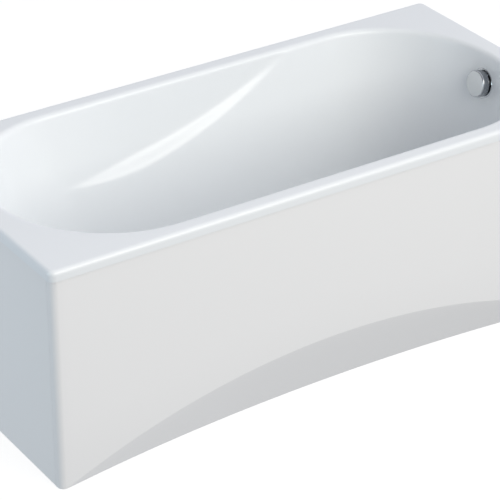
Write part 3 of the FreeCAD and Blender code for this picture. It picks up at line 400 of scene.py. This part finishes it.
def cylinder_between(name, start, end, radius, sides=96):
    """A cylinder from one point to another, with its place in its mesh."""
    start, end = Vector(start), Vector(end)
    bpy.ops.object.select_all(action="DESELECT")
    turn = (end - start).to_track_quat("Z", "Y").to_euler()
    bpy.ops.mesh.primitive_cylinder_add(
        vertices=sides, radius=radius, depth=(end - start).length, location=(start + end) / 2, rotation=turn)
    piece = bpy.context.object
    piece.name = name
    bpy.ops.object.transform_apply(location=True, rotation=True, scale=True)
    return piece


def cut_with(piece, cutter):
    """Cuts one piece with another, which is used up."""
    apply_modifier(piece, "BOOLEAN", operation="DIFFERENCE", object=cutter, solver="EXACT")
    bpy.data.objects.remove(cutter)


def set_piece(piece, body, nodes, slot, *materials):
    """Gives a finished piece its materials, unless it has them, and its place in the assembly."""
    if materials:
        piece.data.materials.clear()
    for material in materials:
        piece.data.materials.append(material)
    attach(piece, body)
    for node in nodes:
        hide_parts(node)


def smooth_shade(piece, angle, flat_faces=False):
    """Shades a piece smooth up to an angle, and may keep its flat faces flat up to their rounds."""
    bpy.ops.object.select_all(action="DESELECT")
    piece.select_set(True)
    bpy.context.view_layer.objects.active = piece
    bpy.ops.object.shade_smooth_by_angle(angle=math.radians(angle))
    if flat_faces:
        apply_modifier(piece, "WEIGHTED_NORMAL", keep_sharp=True)
    bpy.ops.object.select_all(action="DESELECT")


def grain(material, sizes, detail=2):
    """A soft pattern in the piece's own space, with a real size along each axis."""
    place = add_node(material, "ShaderNodeTexCoord").outputs["Object"]
    scaled = add_node(material, "ShaderNodeMapping", {"Scale": [1 / size for size in sizes]}, Vector=place)
    noise = add_node(material, "ShaderNodeTexNoise", {
        "Scale": 1, "Detail": detail}, Vector=scaled.outputs["Vector"])
    return noise.outputs["Fac"]


def work_surface(material, shader, pattern, tones=None, roughness=None, depth=None):
    """Lets a pattern colour a surface between two tones, each given with the pattern's value that it
    stands at, vary its roughness between two values, and raise it to a real depth."""
    links = material.node_tree.links
    if tones:
        ramp = add_node(material, "ShaderNodeValToRGB", None, Fac=pattern)
        for element, (colour, value) in zip(ramp.color_ramp.elements, tones):
            element.position = value
            element.color = linear(colour)
        links.new(ramp.outputs["Color"], shader.inputs["Base Color"])
    if roughness:
        spread = add_node(material, "ShaderNodeMapRange", {
            "From Min": pattern_low, "From Max": pattern_high,
            "To Min": roughness[0], "To Max": roughness[1]}, Value=pattern)
        links.new(spread.outputs["Result"], shader.inputs["Roughness"])
    if depth:
        bump = add_node(material, "ShaderNodeBump", {"Strength": 1, "Distance": depth}, Height=pattern)
        links.new(bump.outputs["Normal"], shader.inputs["Normal"])


# Cast acrylic sheet: a deep, even white gloss, polished by hand, so its shine wanders a little
# and broad reflections waver as they do on any vacuum-formed sheet.
acrylic, acrylic_shader = new_material("cast_acrylic", "#E6E9EB", {
    "Roughness": 0.30, "IOR": 1.49, "Coat Weight": 0.1, "Coat Roughness": 0.18})
work_surface(acrylic, acrylic_shader, grain(acrylic, (polish_size,) * 3), roughness=(0.285, 0.315))
work_surface(acrylic, acrylic_shader, grain(acrylic, (waver_size,) * 3, 0), depth=waver_depth)

# Glass-fibre strands in polyester resin, rolled on by hand: rough, matt and a little green. Three
# layers of patches lie over each other, each patch with its strands turned its own way.
laminate, laminate_shader = new_material("glass_fibre_laminate", "#C9CCBB", {"Roughness": 0.75, "IOR": 1.55})
place = add_node(laminate, "ShaderNodeTexCoord").outputs["Object"]
strand_scale = (1 / strand_width, 1 / strand_width, 1 / strand_length)
strands = None
for patch in strand_patches:
    chance = add_node(laminate, "ShaderNodeTexVoronoi", {"Scale": 1 / patch}, Vector=place)
    turn = add_node(laminate, "ShaderNodeVectorMath", {
        "operation": "SCALE", "Scale": 2 * math.pi}, Vector=chance.outputs["Color"])
    turned = add_node(laminate, "ShaderNodeVectorRotate", {
        "rotation_type": "EULER_XYZ"}, Vector=place, Rotation=turn.outputs["Vector"])
    stretched = add_node(laminate, "ShaderNodeMapping", {
        "Scale": strand_scale}, Vector=turned.outputs["Vector"])
    noise = add_node(laminate, "ShaderNodeTexNoise", {
        "Scale": 1, "Detail": 1}, Vector=stretched.outputs["Vector"])
    layer = noise.outputs["Fac"]
    if strands:
        both = add_node(laminate, "ShaderNodeMath", {"operation": "MAXIMUM"})
        laminate.node_tree.links.new(strands, both.inputs[0])
        laminate.node_tree.links.new(layer, both.inputs[1])
        layer = both.outputs["Value"]
    strands = layer
strand_tones = (("#BBBDA6", 0.45), ("#DEDED1", 0.75))
work_surface(laminate, laminate_shader, strands, strand_tones, (0.62, 0.85), strand_depth)

shell = formed_sheet("shell", [shell_profile(station) for station in stations()], True)
if max(shell.data.polygons, key=lambda face: face.center.z).normal.z < 0:
    in_edit_mode(bpy.ops.mesh.flip_normals)
shell.data.materials.append(acrylic)
shell.data.materials.append(laminate)
apply_modifier(shell, "SOLIDIFY", thickness=sheet_wall, offset=-1, use_even_offset=True, material_offset=1)
boss_low = drain_centre - Vector((0, 0, drain_boss_drop))
boss_high = drain_centre - Vector((0, 0, sheet_wall))
boss = cylinder_between("boss", boss_low, boss_high, drain_boss)
through = overflow_axis * cut_reach
cut_with(shell, cylinder_between("cut", overflow_centre - through, overflow_centre + through, overflow_hole))
up = Vector((0, 0, cut_reach))
seat = drain_centre - Vector((0, 0, drain_seat_depth))
for piece in (shell, boss):
    cut_with(piece, cylinder_between("cut", seat, seat + up, drain_seat))
    cut_with(piece, cylinder_between("cut", drain_centre - up, drain_centre + up, drain_hole))
    smooth_shade(piece, shade_angle)
set_piece(shell, "tub", ["tub_shell"], "acrylic_white")
set_piece(boss, "tub", [], "acrylic_white", laminate)


# Front panel: one sheet of acrylic with returned ends. Below a long low arch it slopes back to
# the floor, which leaves room for the toes of someone who stands at the tub.
panel_wall = 0.004
panel_face_y = -0.345
panel_end_x = 0.745
panel_top = 0.5475
panel_return = 0.022
panel_corner = 0.016
arch_half_span = 0.728
arch_rise = 0.154
toe_depth = 0.054
toe_slope = toe_depth / arch_rise
face_rows = 4
toe_rows = 3
arch_columns = 120
corner_columns = 8
crease_round = 0.006
crease_angle = 14
panel_shade_angle = 30


def arch_height(x):
    """The height of the arch's crease: a part of a circle that meets the floor near both ends."""
    radius = (arch_half_span ** 2 + arch_rise ** 2) / (2 * arch_rise)
    return arch_rise - radius + math.sqrt(max(radius ** 2 - x ** 2, 0)) if abs(x) < arch_half_span else 0


def panel_column(x, y):
    """One upright line of the panel, from its top edge to the crease and back down to the floor."""
    crease = arch_height(x) if y == panel_face_y else 0
    points = [Vector((x, y, panel_top + (crease - panel_top) * i / face_rows)) for i in range(face_rows + 1)]
    for i in range(1, toe_rows + 1):
        points.append(Vector((x, y + toe_slope * crease * i / toe_rows, crease * (1 - i / toe_rows))))
    return points


straight_x, straight_y = panel_end_x - panel_corner, panel_face_y + panel_corner
turns = [math.pi / 2 * i / corner_columns for i in range(corner_columns + 1)]
bends = [(panel_corner * math.sin(turn), panel_corner * math.cos(turn)) for turn in turns]
plan = [(-panel_end_x, panel_face_y + panel_return)]
plan += [(-straight_x - level, straight_y - rise) for rise, level in bends]
plan += [(-straight_x + 2 * straight_x * i / arch_columns, panel_face_y) for i in range(1, arch_columns)]
plan += [(straight_x + rise, straight_y - level) for rise, level in bends]
plan += [(panel_end_x, panel_face_y + panel_return)]
front = formed_sheet("front", [panel_column(x, y) for x, y in plan], False)
in_edit_mode(lambda: bpy.ops.mesh.remove_doubles(threshold=merge_gap))
in_edit_mode(bpy.ops.mesh.normals_make_consistent)
middle = Vector((0, panel_face_y, panel_top / 2))
if min(front.data.polygons, key=lambda face: (face.center - middle).length).normal.y > 0:
    in_edit_mode(bpy.ops.mesh.flip_normals)
apply_modifier(
    front, "BEVEL", width=crease_round, segments=3,
    limit_method="ANGLE", angle_limit=math.radians(crease_angle))
apply_modifier(front, "SOLIDIFY", thickness=panel_wall, offset=-1, use_even_offset=True)
smooth_shade(front, panel_shade_angle)

# Extruded acrylic sheet, pressed over a former: a neutral white with a very even, soft gloss.
panel_acrylic, panel_shader = new_material("pressed_acrylic", "#E7E7E7", {
    "Roughness": 0.29, "IOR": 1.49, "Coat Weight": 0.1, "Coat Roughness": 0.18})
panel_polish = grain(panel_acrylic, (polish_size,) * 3)
work_surface(panel_acrylic, panel_shader, panel_polish, roughness=(0.285, 0.295))
set_piece(front, "tub", ["front_panel"], "panel_white", panel_acrylic)


# End panel: a flat sheet of the same acrylic at the backrest end. It butts against the front
# panel's returned edge and is clipped under the rim.
end_panel_low = (-0.745, -0.3224, 0)
end_panel_high = (-0.741, 0.3375, 0.5475)
sheet_edge = 0.0008


def block(name, low, high, edge, segments=2):
    """A rectangular piece between two corners, with every edge eased by a small round."""
    bpy.ops.object.select_all(action="DESELECT")
    middle = [(a + b) / 2 for a, b in zip(low, high)]
    bpy.ops.mesh.primitive_cube_add(size=1, location=middle, scale=[b - a for a, b in zip(low, high)])
    piece = bpy.context.object
    piece.name = name
    bpy.ops.object.transform_apply(location=True, rotation=True, scale=True)
    apply_modifier(piece, "BEVEL", width=edge, segments=segments)
    smooth_shade(piece, shade_angle, True)
    return piece


end_sheet = block("end_sheet", end_panel_low, end_panel_high, sheet_edge)
set_piece(end_sheet, "tub", ["end_panel"], "panel_white", panel_acrylic)


# Corner angle: an extruded strip of white plastic, glued behind both panels at their corner.
# The extruder leaves faint lines along it.
angle_edge = 0.0004
facet_gap = 0.000002
flat_angle = 1
sharp_angle = 40
extrusion_lines = (0.0012, 0.0012, 0.200)
extrusion_depth = 0.00003


def eased_copy(node, edge, segments=2):
    """A copy of a CAD node with its facets merged and its edges eased by a small round."""
    bpy.ops.object.select_all(action="DESELECT")
    piece = bpy.data.objects.new(node + "_eased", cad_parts[node].data.copy())
    bpy.context.collection.objects.link(piece)
    bpy.context.view_layer.objects.active = piece
    piece.select_set(True)
    in_edit_mode(lambda: bpy.ops.mesh.remove_doubles(threshold=facet_gap))
    in_edit_mode(lambda: bpy.ops.mesh.dissolve_limited(angle_limit=math.radians(flat_angle)))
    apply_modifier(
        piece, "BEVEL", width=edge, segments=segments,
        limit_method="ANGLE", angle_limit=math.radians(sharp_angle))
    smooth_shade(piece, shade_angle, True)
    return piece


# Extruded hard vinyl: an even white satin, drawn out in very faint lines.
pvc, pvc_shader = new_material("extruded_pvc", "#E6E6E2", {"Roughness": 0.42, "IOR": 1.53})
lines = grain(pvc, extrusion_lines)
work_surface(pvc, pvc_shader, lines, roughness=(0.36, 0.50), depth=extrusion_depth)
set_piece(eased_copy("corner_angle", angle_edge), "tub", ["corner_angle"], "white_plastic", pvc)


# Base board and its wrap: a chipboard panel that stiffens the floor, laid on the wet laminate
# and wrapped in more of it, so its edges are soft and only the laminate shows.
chip_size = 0.005
chip_depth = 0.0004
board_edge = 0.0005
wrap_edge = 0.0022

# Chipboard: pressed wood chips of several browns, dry and rough.
chipboard, chipboard_shader = new_material("chipboard", "#C7A878", {"Roughness": 0.85, "IOR": 1.45})
place = add_node(chipboard, "ShaderNodeTexCoord").outputs["Object"]
chips = add_node(chipboard, "ShaderNodeTexVoronoi", {"Scale": 1 / chip_size, "Randomness": 1.0}, Vector=place)
work_surface(chipboard, chipboard_shader, chips.outputs["Color"], (("#A5834F", 0.1), ("#DCC49A", 0.9)))
work_surface(chipboard, chipboard_shader, chips.outputs["Distance"], depth=chip_depth)
set_piece(eased_copy("base_board", board_edge), "tub", ["base_board"], "chipboard", chipboard)
set_piece(eased_copy("laminate_tray", wrap_edge, 3), "tub", ["laminate_tray"], "laminate", laminate)


# Rim battens: planed softwood, glued into the laminate under the rim, one along each side and
# one across each end. They stiffen the rim and hold the panel clips.
batten_section = (0.020, 0.022)
batten_top = 0.5555
side_batten = (0.650, 0.338)
end_batten = (0.738, 0.250)
batten_edge = 0.0010
grain_size = 0.0045
grain_length = 0.30
grain_depth = 0.00012


def planed_pine(name, sizes):
    """Softwood whose grain has a real size along each axis: warm, with darker late-wood lines."""
    pine, shader = new_material(name, "#D9B98A", {"Roughness": 0.62, "IOR": 1.45})
    lines = grain(pine, sizes, 3)
    work_surface(pine, shader, lines, (("#B98E58", 0.35), ("#E3C79B", 0.62)), (0.70, 0.52), grain_depth)
    return pine


pine_along = planed_pine("planed_pine_along", (grain_length, grain_size, grain_size))
pine_across = planed_pine("planed_pine_across", (grain_size, grain_length, grain_size))
thick, high = batten_section
batten_low = batten_top - high
for sign, side in ((-1, "front"), (1, "rear")):
    near, far = sorted((sign * (side_batten[1] - thick), sign * side_batten[1]))
    low, top = (-side_batten[0], near, batten_low), (side_batten[0], far, batten_top)
    set_piece(block("batten_" + side, low, top, batten_edge), "tub", ["rim_battens"], "timber", pine_along)
for sign, end in ((-1, "head"), (1, "foot")):
    near, far = sorted((sign * (end_batten[0] - thick), sign * end_batten[0]))
    low, top = (near, -end_batten[1], batten_low), (far, end_batten[1], batten_top)
    set_piece(block("batten_" + end, low, top, batten_edge), "tub", ["rim_battens"], "timber", pine_across)


# Cradle: two channels folded from galvanised sheet, screwed up into the base board. The zinc
# has frozen in flat crystals that differ a little in tone and gloss.
spangle_size = 0.008
fold_round = 0.0011
screw_edge = 0.0005
plating_size = 0.003

# Hot-dip galvanised sheet: dull silver crystals, each a flat patch of one tone.
galvanised, galvanised_shader = new_material("galvanised_steel", "#B4B8BB", {
    "Metallic": 1.0, "Roughness": 0.38})
place = add_node(galvanised, "ShaderNodeTexCoord").outputs["Object"]
crystals = add_node(galvanised, "ShaderNodeTexVoronoi", {"Scale": 1 / spangle_size}, Vector=place)
spangle_tones = (("#A9AEB1", 0.1), ("#BFC3C6", 0.9))
work_surface(galvanised, galvanised_shader, crystals.outputs["Color"], spangle_tones, (0.36, 0.44))

# Bright zinc plate on turned and pressed steel: smooth, a little blue, with a soft shine.
zinc, zinc_shader = new_material("zinc_plated_steel", "#B9BDC2", {"Metallic": 1.0, "Roughness": 0.28})
work_surface(zinc, zinc_shader, grain(zinc, (plating_size,) * 3), roughness=(0.22, 0.36))

for end in ("head", "foot"):
    channel = eased_copy("crossbar_" + end, fold_round, 3)
    set_piece(channel, "tub", ["crossbar_" + end], "cradle_steel", galvanised)
set_piece(eased_copy("board_screws", screw_edge), "tub", ["board_screws"], "zinc_steel", zinc)


# Legs: four lengths of M12 threaded rod, each locked to its channel by two hexagon nuts. Each
# ends in a moulded foot, and turns with it to take up an uneven floor.
rod_spacing = (0.330, 0.245)
rod_low = 0.012
rod_high = 0.1705
thread_root = 0.0051
thread_crest = 0.0059
thread_pitch = 0.00175
thread_shares = (0, 0.35, 0.50, 0.85, 1)
thread_overrun = 2
thread_steps = 20
thread_gap = 0.000005
thread_shade_angle = 25
nut_edge = 0.0007
foot_edge = 0.0012
foot_texture = 0.0012
foot_texture_depth = 0.00008


def threaded_rod(name, x, y):
    """A rod whose thread is one tooth wound up by a screw, then sawn off at both ends."""
    tooth = zip((thread_root, thread_crest, thread_crest, thread_root, thread_root), thread_shares)
    profile = bpy.data.meshes.new(name)
    points = [(x + radius, y, rod_low + (rise - thread_overrun) * thread_pitch) for radius, rise in tooth]
    profile.from_pydata(points, [(i, i + 1) for i in range(len(points) - 1)], [])
    rod = bpy.data.objects.new(name, profile)
    bpy.context.collection.objects.link(rod)
    axis = bpy.data.objects.new("axis", None)
    axis.location = (x, y, 0)
    bpy.context.collection.objects.link(axis)
    bpy.context.view_layer.update()
    turns = math.ceil((rod_high - rod_low) / thread_pitch) + 2 * thread_overrun
    apply_modifier(
        rod, "SCREW", object=axis, axis="Z", screw_offset=thread_pitch, use_object_screw_offset=False,
        iterations=turns, steps=thread_steps, render_steps=thread_steps, use_merge_vertices=True,
        merge_threshold=thread_gap)
    bpy.data.objects.remove(axis)
    rod.select_set(True)
    in_edit_mode(lambda: bpy.ops.mesh.bisect(
        plane_co=(x, y, rod_low), plane_no=(0, 0, 1), use_fill=True, clear_inner=True))
    in_edit_mode(lambda: bpy.ops.mesh.bisect(
        plane_co=(x, y, rod_high), plane_no=(0, 0, 1), use_fill=True, clear_outer=True))
    in_edit_mode(bpy.ops.mesh.normals_make_consistent)
    smooth_shade(rod, thread_shade_angle)
    return rod


# Black polypropylene, spark-eroded in the mould, so it is matt with a fine grain.
black_polypropylene, black_shader = new_material("moulded_black_polypropylene", "#232426", {
    "Roughness": 0.55, "IOR": 1.49})
fine_grain = grain(black_polypropylene, (foot_texture,) * 3)
work_surface(black_polypropylene, black_shader, fine_grain, roughness=(0.48, 0.66), depth=foot_texture_depth)

for end, x in (("head", -rod_spacing[0]), ("foot", rod_spacing[0])):
    for side, y in (("front", -rod_spacing[1]), ("rear", rod_spacing[1])):
        place = end + "_" + side
        rod = threaded_rod("rod_" + place, x, y)
        set_piece(rod, "foot_" + place, ["leg_rod_" + place], "zinc_steel", zinc)
        foot = eased_copy("foot_pad_" + place, foot_edge, 3)
        set_piece(foot, "foot_" + place, ["foot_pad_" + place], "foot_plastic", black_polypropylene)
    nuts = eased_copy("crossbar_nuts_" + end, nut_edge)
    set_piece(nuts, "tub", ["crossbar_nuts_" + end], "zinc_steel", zinc)


# Panel arms: flat steel arms bolted to the channels. A foam pad on each upright tab steadies the
# front panel from behind.
arm_edge = 0.0005
pad_edge = 0.0009
foam_cell = 0.0016
foam_depth = 0.00035

# Closed-cell foam: dark grey, dull and finely pitted, with its cells drawn a little coarse.
foam, foam_shader = new_material("closed_cell_foam", "#55585B", {"Roughness": 0.9, "IOR": 1.45})
place = add_node(foam, "ShaderNodeTexCoord").outputs["Object"]
cells = add_node(foam, "ShaderNodeTexVoronoi", {"Scale": 1 / foam_cell}, Vector=place).outputs["Distance"]
work_surface(foam, foam_shader, cells, (("#434649", 0.0), ("#626568", 0.8)), depth=foam_depth)

for end in ("head", "foot"):
    arm = eased_copy("panel_arm_" + end, arm_edge)
    set_piece(arm, "tub", ["panel_arm_" + end], "cradle_steel", galvanised)
    set_piece(eased_copy("arm_bolts_" + end, screw_edge), "tub", ["arm_bolts_" + end], "zinc_steel", zinc)
    set_piece(eased_copy("arm_pad_" + end, pad_edge), "tub", ["arm_pad_" + end], "foam", foam)


# Spring clips and wall clips: the clips are bent from blue-grey spring strip and press the
# panels against the lip. Two plated brackets hook the rear lip to the wall.
strip_edge = 0.0001
bracket_edge = 0.0006
rolling_lines = (0.0010, 0.0010, 0.020)

# Cold-rolled spring steel: blue-grey, with a shine streaked by the rolls.
spring_strip, strip_shader = new_material("rolled_spring_steel", "#878C93", {
    "Metallic": 1.0, "Roughness": 0.30})
work_surface(spring_strip, strip_shader, grain(spring_strip, rolling_lines), roughness=(0.24, 0.42))
for clips in ("front_clips", "end_clips"):
    set_piece(eased_copy(clips, strip_edge), "tub", [clips], "spring_steel", spring_strip)
for end in ("head", "foot"):
    set_piece(eased_copy("wall_clip_" + end, bracket_edge), "tub", ["wall_clip_" + end], "zinc_steel", zinc)


# Drain: a turned brass flange with a three-armed spider, chromed, over a black rubber gasket.
# The domed plug drops its seal into the flange's cone; its stem runs down through the spider.
chrome_edge = 0.00035
gasket_edge = 0.0004
seal_edge = 0.0002
handling_size = 0.012
rubber_grain = 0.0009
rubber_depth = 0.00004

# Chrome plate on polished brass: a hard mirror, very slightly softened by handling.
chrome, chrome_shader = new_material("chrome_plate", "#C4C7CA", {"Metallic": 1.0, "Roughness": 0.09})
work_surface(chrome, chrome_shader, grain(chrome, (handling_size,) * 3, 3), roughness=(0.07, 0.13))

# Moulded nitrile rubber: black, matt, faintly grained.
rubber, rubber_shader = new_material("nitrile_rubber", "#18191A", {"Roughness": 0.62, "IOR": 1.52})
rubber_pattern = grain(rubber, (rubber_grain,) * 3)
work_surface(rubber, rubber_shader, rubber_pattern, roughness=(0.55, 0.74), depth=rubber_depth)

set_piece(eased_copy("drain_flange", chrome_edge), "tub", ["drain_flange"], "chrome", chrome)
set_piece(eased_copy("drain_gasket", gasket_edge), "tub", ["drain_gasket"], "rubber_black", rubber)
set_piece(eased_copy("drain_plug", chrome_edge), "plug", ["drain_plug"], "chrome", chrome)
set_piece(eased_copy("plug_seal", seal_edge), "plug", ["plug_seal"], "rubber_black", rubber)


# Waste body and lifter: a moulded body clamped under the floor, and the bell crank inside it that
# a cable from the overflow knob tips to raise the plug.
moulding_edge = 0.0006
moulding_texture = 0.0020
moulding_depth = 0.00005
lever_edge = 0.0004
pin_edge = 0.0003

# White polypropylene, injection-moulded: a soft satin with a faint flow pattern.
polypropylene, polypropylene_shader = new_material("moulded_white_polypropylene", "#E4E4E0", {
    "Roughness": 0.40, "IOR": 1.49})
flow = grain(polypropylene, (moulding_texture,) * 3)
work_surface(polypropylene, polypropylene_shader, flow, roughness=(0.34, 0.48), depth=moulding_depth)

# Grey acetal: waxy and low in friction.
acetal, acetal_shader = new_material("moulded_grey_acetal", "#85888B", {"Roughness": 0.36, "IOR": 1.48})
work_surface(acetal, acetal_shader, grain(acetal, (moulding_texture,) * 3), roughness=(0.30, 0.44))

set_piece(eased_copy("waste_body", moulding_edge), "tub", ["waste_body"], "pipe_plastic", polypropylene)
set_piece(eased_copy("lever_pin", pin_edge), "tub", ["lever_pin"], "zinc_steel", zinc)
set_piece(eased_copy("lifter_lever", lever_edge), "lever", ["lifter_lever"], "grey_plastic", acetal)


# Trap, outlet and union nuts: a cup trap with a screw cap, and a plain pipe towards the wall.
# Eight-sided nuts clamp its neck, its outlet and both ends of the overflow pipe.
union_edge = 0.0009

# The nuts' own polypropylene: a greyer white than the pipes', and a little duller.
union_polypropylene, union_shader = new_material("moulded_grey_white_polypropylene", "#CFD0CE", {
    "Roughness": 0.46, "IOR": 1.49})
flow = grain(union_polypropylene, (moulding_texture,) * 3)
work_surface(union_polypropylene, union_shader, flow, roughness=(0.40, 0.54), depth=moulding_depth)

for part in ("trap_body", "trap_cap", "outlet_pipe"):
    set_piece(eased_copy(part, moulding_edge), "tub", [part], "pipe_plastic", polypropylene)
set_piece(eased_copy("union_nuts", union_edge, 3), "tub", ["union_nuts"], "nut_plastic", union_polypropylene)


# Overflow: a chromed ring in the foot end of the basin, with a moulded cup and a bent pipe behind
# it that leads down to the waste body.
set_piece(eased_copy("overflow_flange", chrome_edge), "tub", ["overflow_flange"], "chrome", chrome)
set_piece(eased_copy("overflow_gasket", gasket_edge), "tub", ["overflow_gasket"], "rubber_black", rubber)
for part in ("overflow_body", "overflow_pipe"):
    set_piece(eased_copy(part, moulding_edge), "tub", [part], "pipe_plastic", polypropylene)


# Overflow knob: a hollow chromed cap on a plated spindle. Turning it winds the cable that lifts
# the plug, and a gap under its edge lets high water into the overflow.
knob_near = 0.006
knob_far = 0.025
knob_radius = 0.034
knob_wall = 0.0025
knob_round = 0.0034
knob_hub = 0.007
knob_vent_half = 0.013
knob_vent_high = 0.009
knob_edge = 0.0004
knob_edge_angle = 50
knob_sides = 128
hub_sides = 48
vent_overrun = 0.01
face_slack = 0.0001
knob_side_slack = 0.0003
knob_side_lean = 0.2
knob_side_grain = 0.004
spindle_edge = 0.0003


def on_overflow(along):
    """A point on the overflow's axis, measured from the end wall into the basin."""
    return overflow_centre + overflow_axis * along


def round_edges(piece, chosen, width, segments):
    """Rounds the edges whose two ends both pass a test."""
    bpy.ops.object.select_all(action="DESELECT")
    bpy.context.view_layer.objects.active = piece
    bpy.ops.object.mode_set(mode="EDIT")
    bpy.ops.mesh.select_mode(type="EDGE")
    bpy.ops.mesh.select_all(action="DESELECT")
    bpy.ops.object.mode_set(mode="OBJECT")
    for edge in piece.data.edges:
        edge.select = all(chosen(piece.data.vertices[i].co) for i in edge.vertices)
    bpy.ops.object.mode_set(mode="EDIT")
    bpy.ops.mesh.bevel(offset=width, segments=segments, affect="EDGES")
    bpy.ops.object.mode_set(mode="OBJECT")


knob = cylinder_between("knob", on_overflow(knob_near), on_overflow(knob_far), knob_radius, knob_sides)
knob_face = on_overflow(knob_far)
round_edges(knob, lambda point: (point - knob_face).dot(overflow_axis) > -face_slack, knob_round, 6)
room_start, room_end = on_overflow(knob_near - vent_overrun), on_overflow(knob_far - knob_round)
cut_with(knob, cylinder_between("cut", room_start, room_end, knob_radius - knob_wall, knob_sides))
hub_end = on_overflow(knob_far - knob_wall)
hub = cylinder_between("knob_hub", on_overflow(knob_near), hub_end, knob_hub, hub_sides)
apply_modifier(knob, "BOOLEAN", operation="UNION", object=hub, solver="EXACT")
bpy.data.objects.remove(hub)
vent_turn = overflow_turn - math.pi / 2
vent_up = Vector((math.cos(vent_turn), 0, -math.sin(vent_turn)))
vent_reach = knob_radius - knob_hub + vent_overrun
vent_middle = on_overflow(knob_near + knob_vent_high / 2 - vent_overrun / 2)
bpy.ops.object.select_all(action="DESELECT")
bpy.ops.mesh.primitive_cube_add(
    size=1, location=vent_middle - vent_up * (knob_hub + vent_reach / 2), rotation=(0, vent_turn, 0),
    scale=(vent_reach, 2 * knob_vent_half, knob_vent_high + vent_overrun))
cut_with(knob, bpy.context.object)
apply_modifier(
    knob, "BEVEL", width=knob_edge, segments=2,
    limit_method="ANGLE", angle_limit=math.radians(knob_edge_angle))
smooth_shade(knob, shade_angle)

# Darker chrome round the knob's side: painted shade. The side's plate gets a darker, softer tone that stands
# in for the shadow and dark reflections on that side, and its roughness wanders with a fine grain.
side_chrome_with_painted_shade, side_shade_shader = new_material("side_chrome_painted_shade", "#9C9FA3", {
    "Metallic": 1.0, "Roughness": 0.26})
work_surface(side_chrome_with_painted_shade, side_shade_shader, grain(side_chrome_with_painted_shade, (knob_side_grain,) * 3), roughness=(0.20, 0.30))
knob.data.materials.append(chrome)
knob.data.materials.append(side_chrome_with_painted_shade)
# Faces round the knob's side take the darker chrome with its painted shade; the face keeps the mirror chrome.
for face in knob.data.polygons:
    out = face.center - on_overflow(0)
    away = (out - overflow_axis * out.dot(overflow_axis)).length
    on_knob_side = away > knob_radius - knob_side_slack and abs(face.normal.dot(overflow_axis)) < knob_side_lean
    face.material_index = int(on_knob_side)
set_piece(knob, "knob", ["overflow_knob"], "chrome")
set_piece(eased_copy("overflow_spindle", spindle_edge), "knob", ["overflow_spindle"], "zinc_steel", zinc)
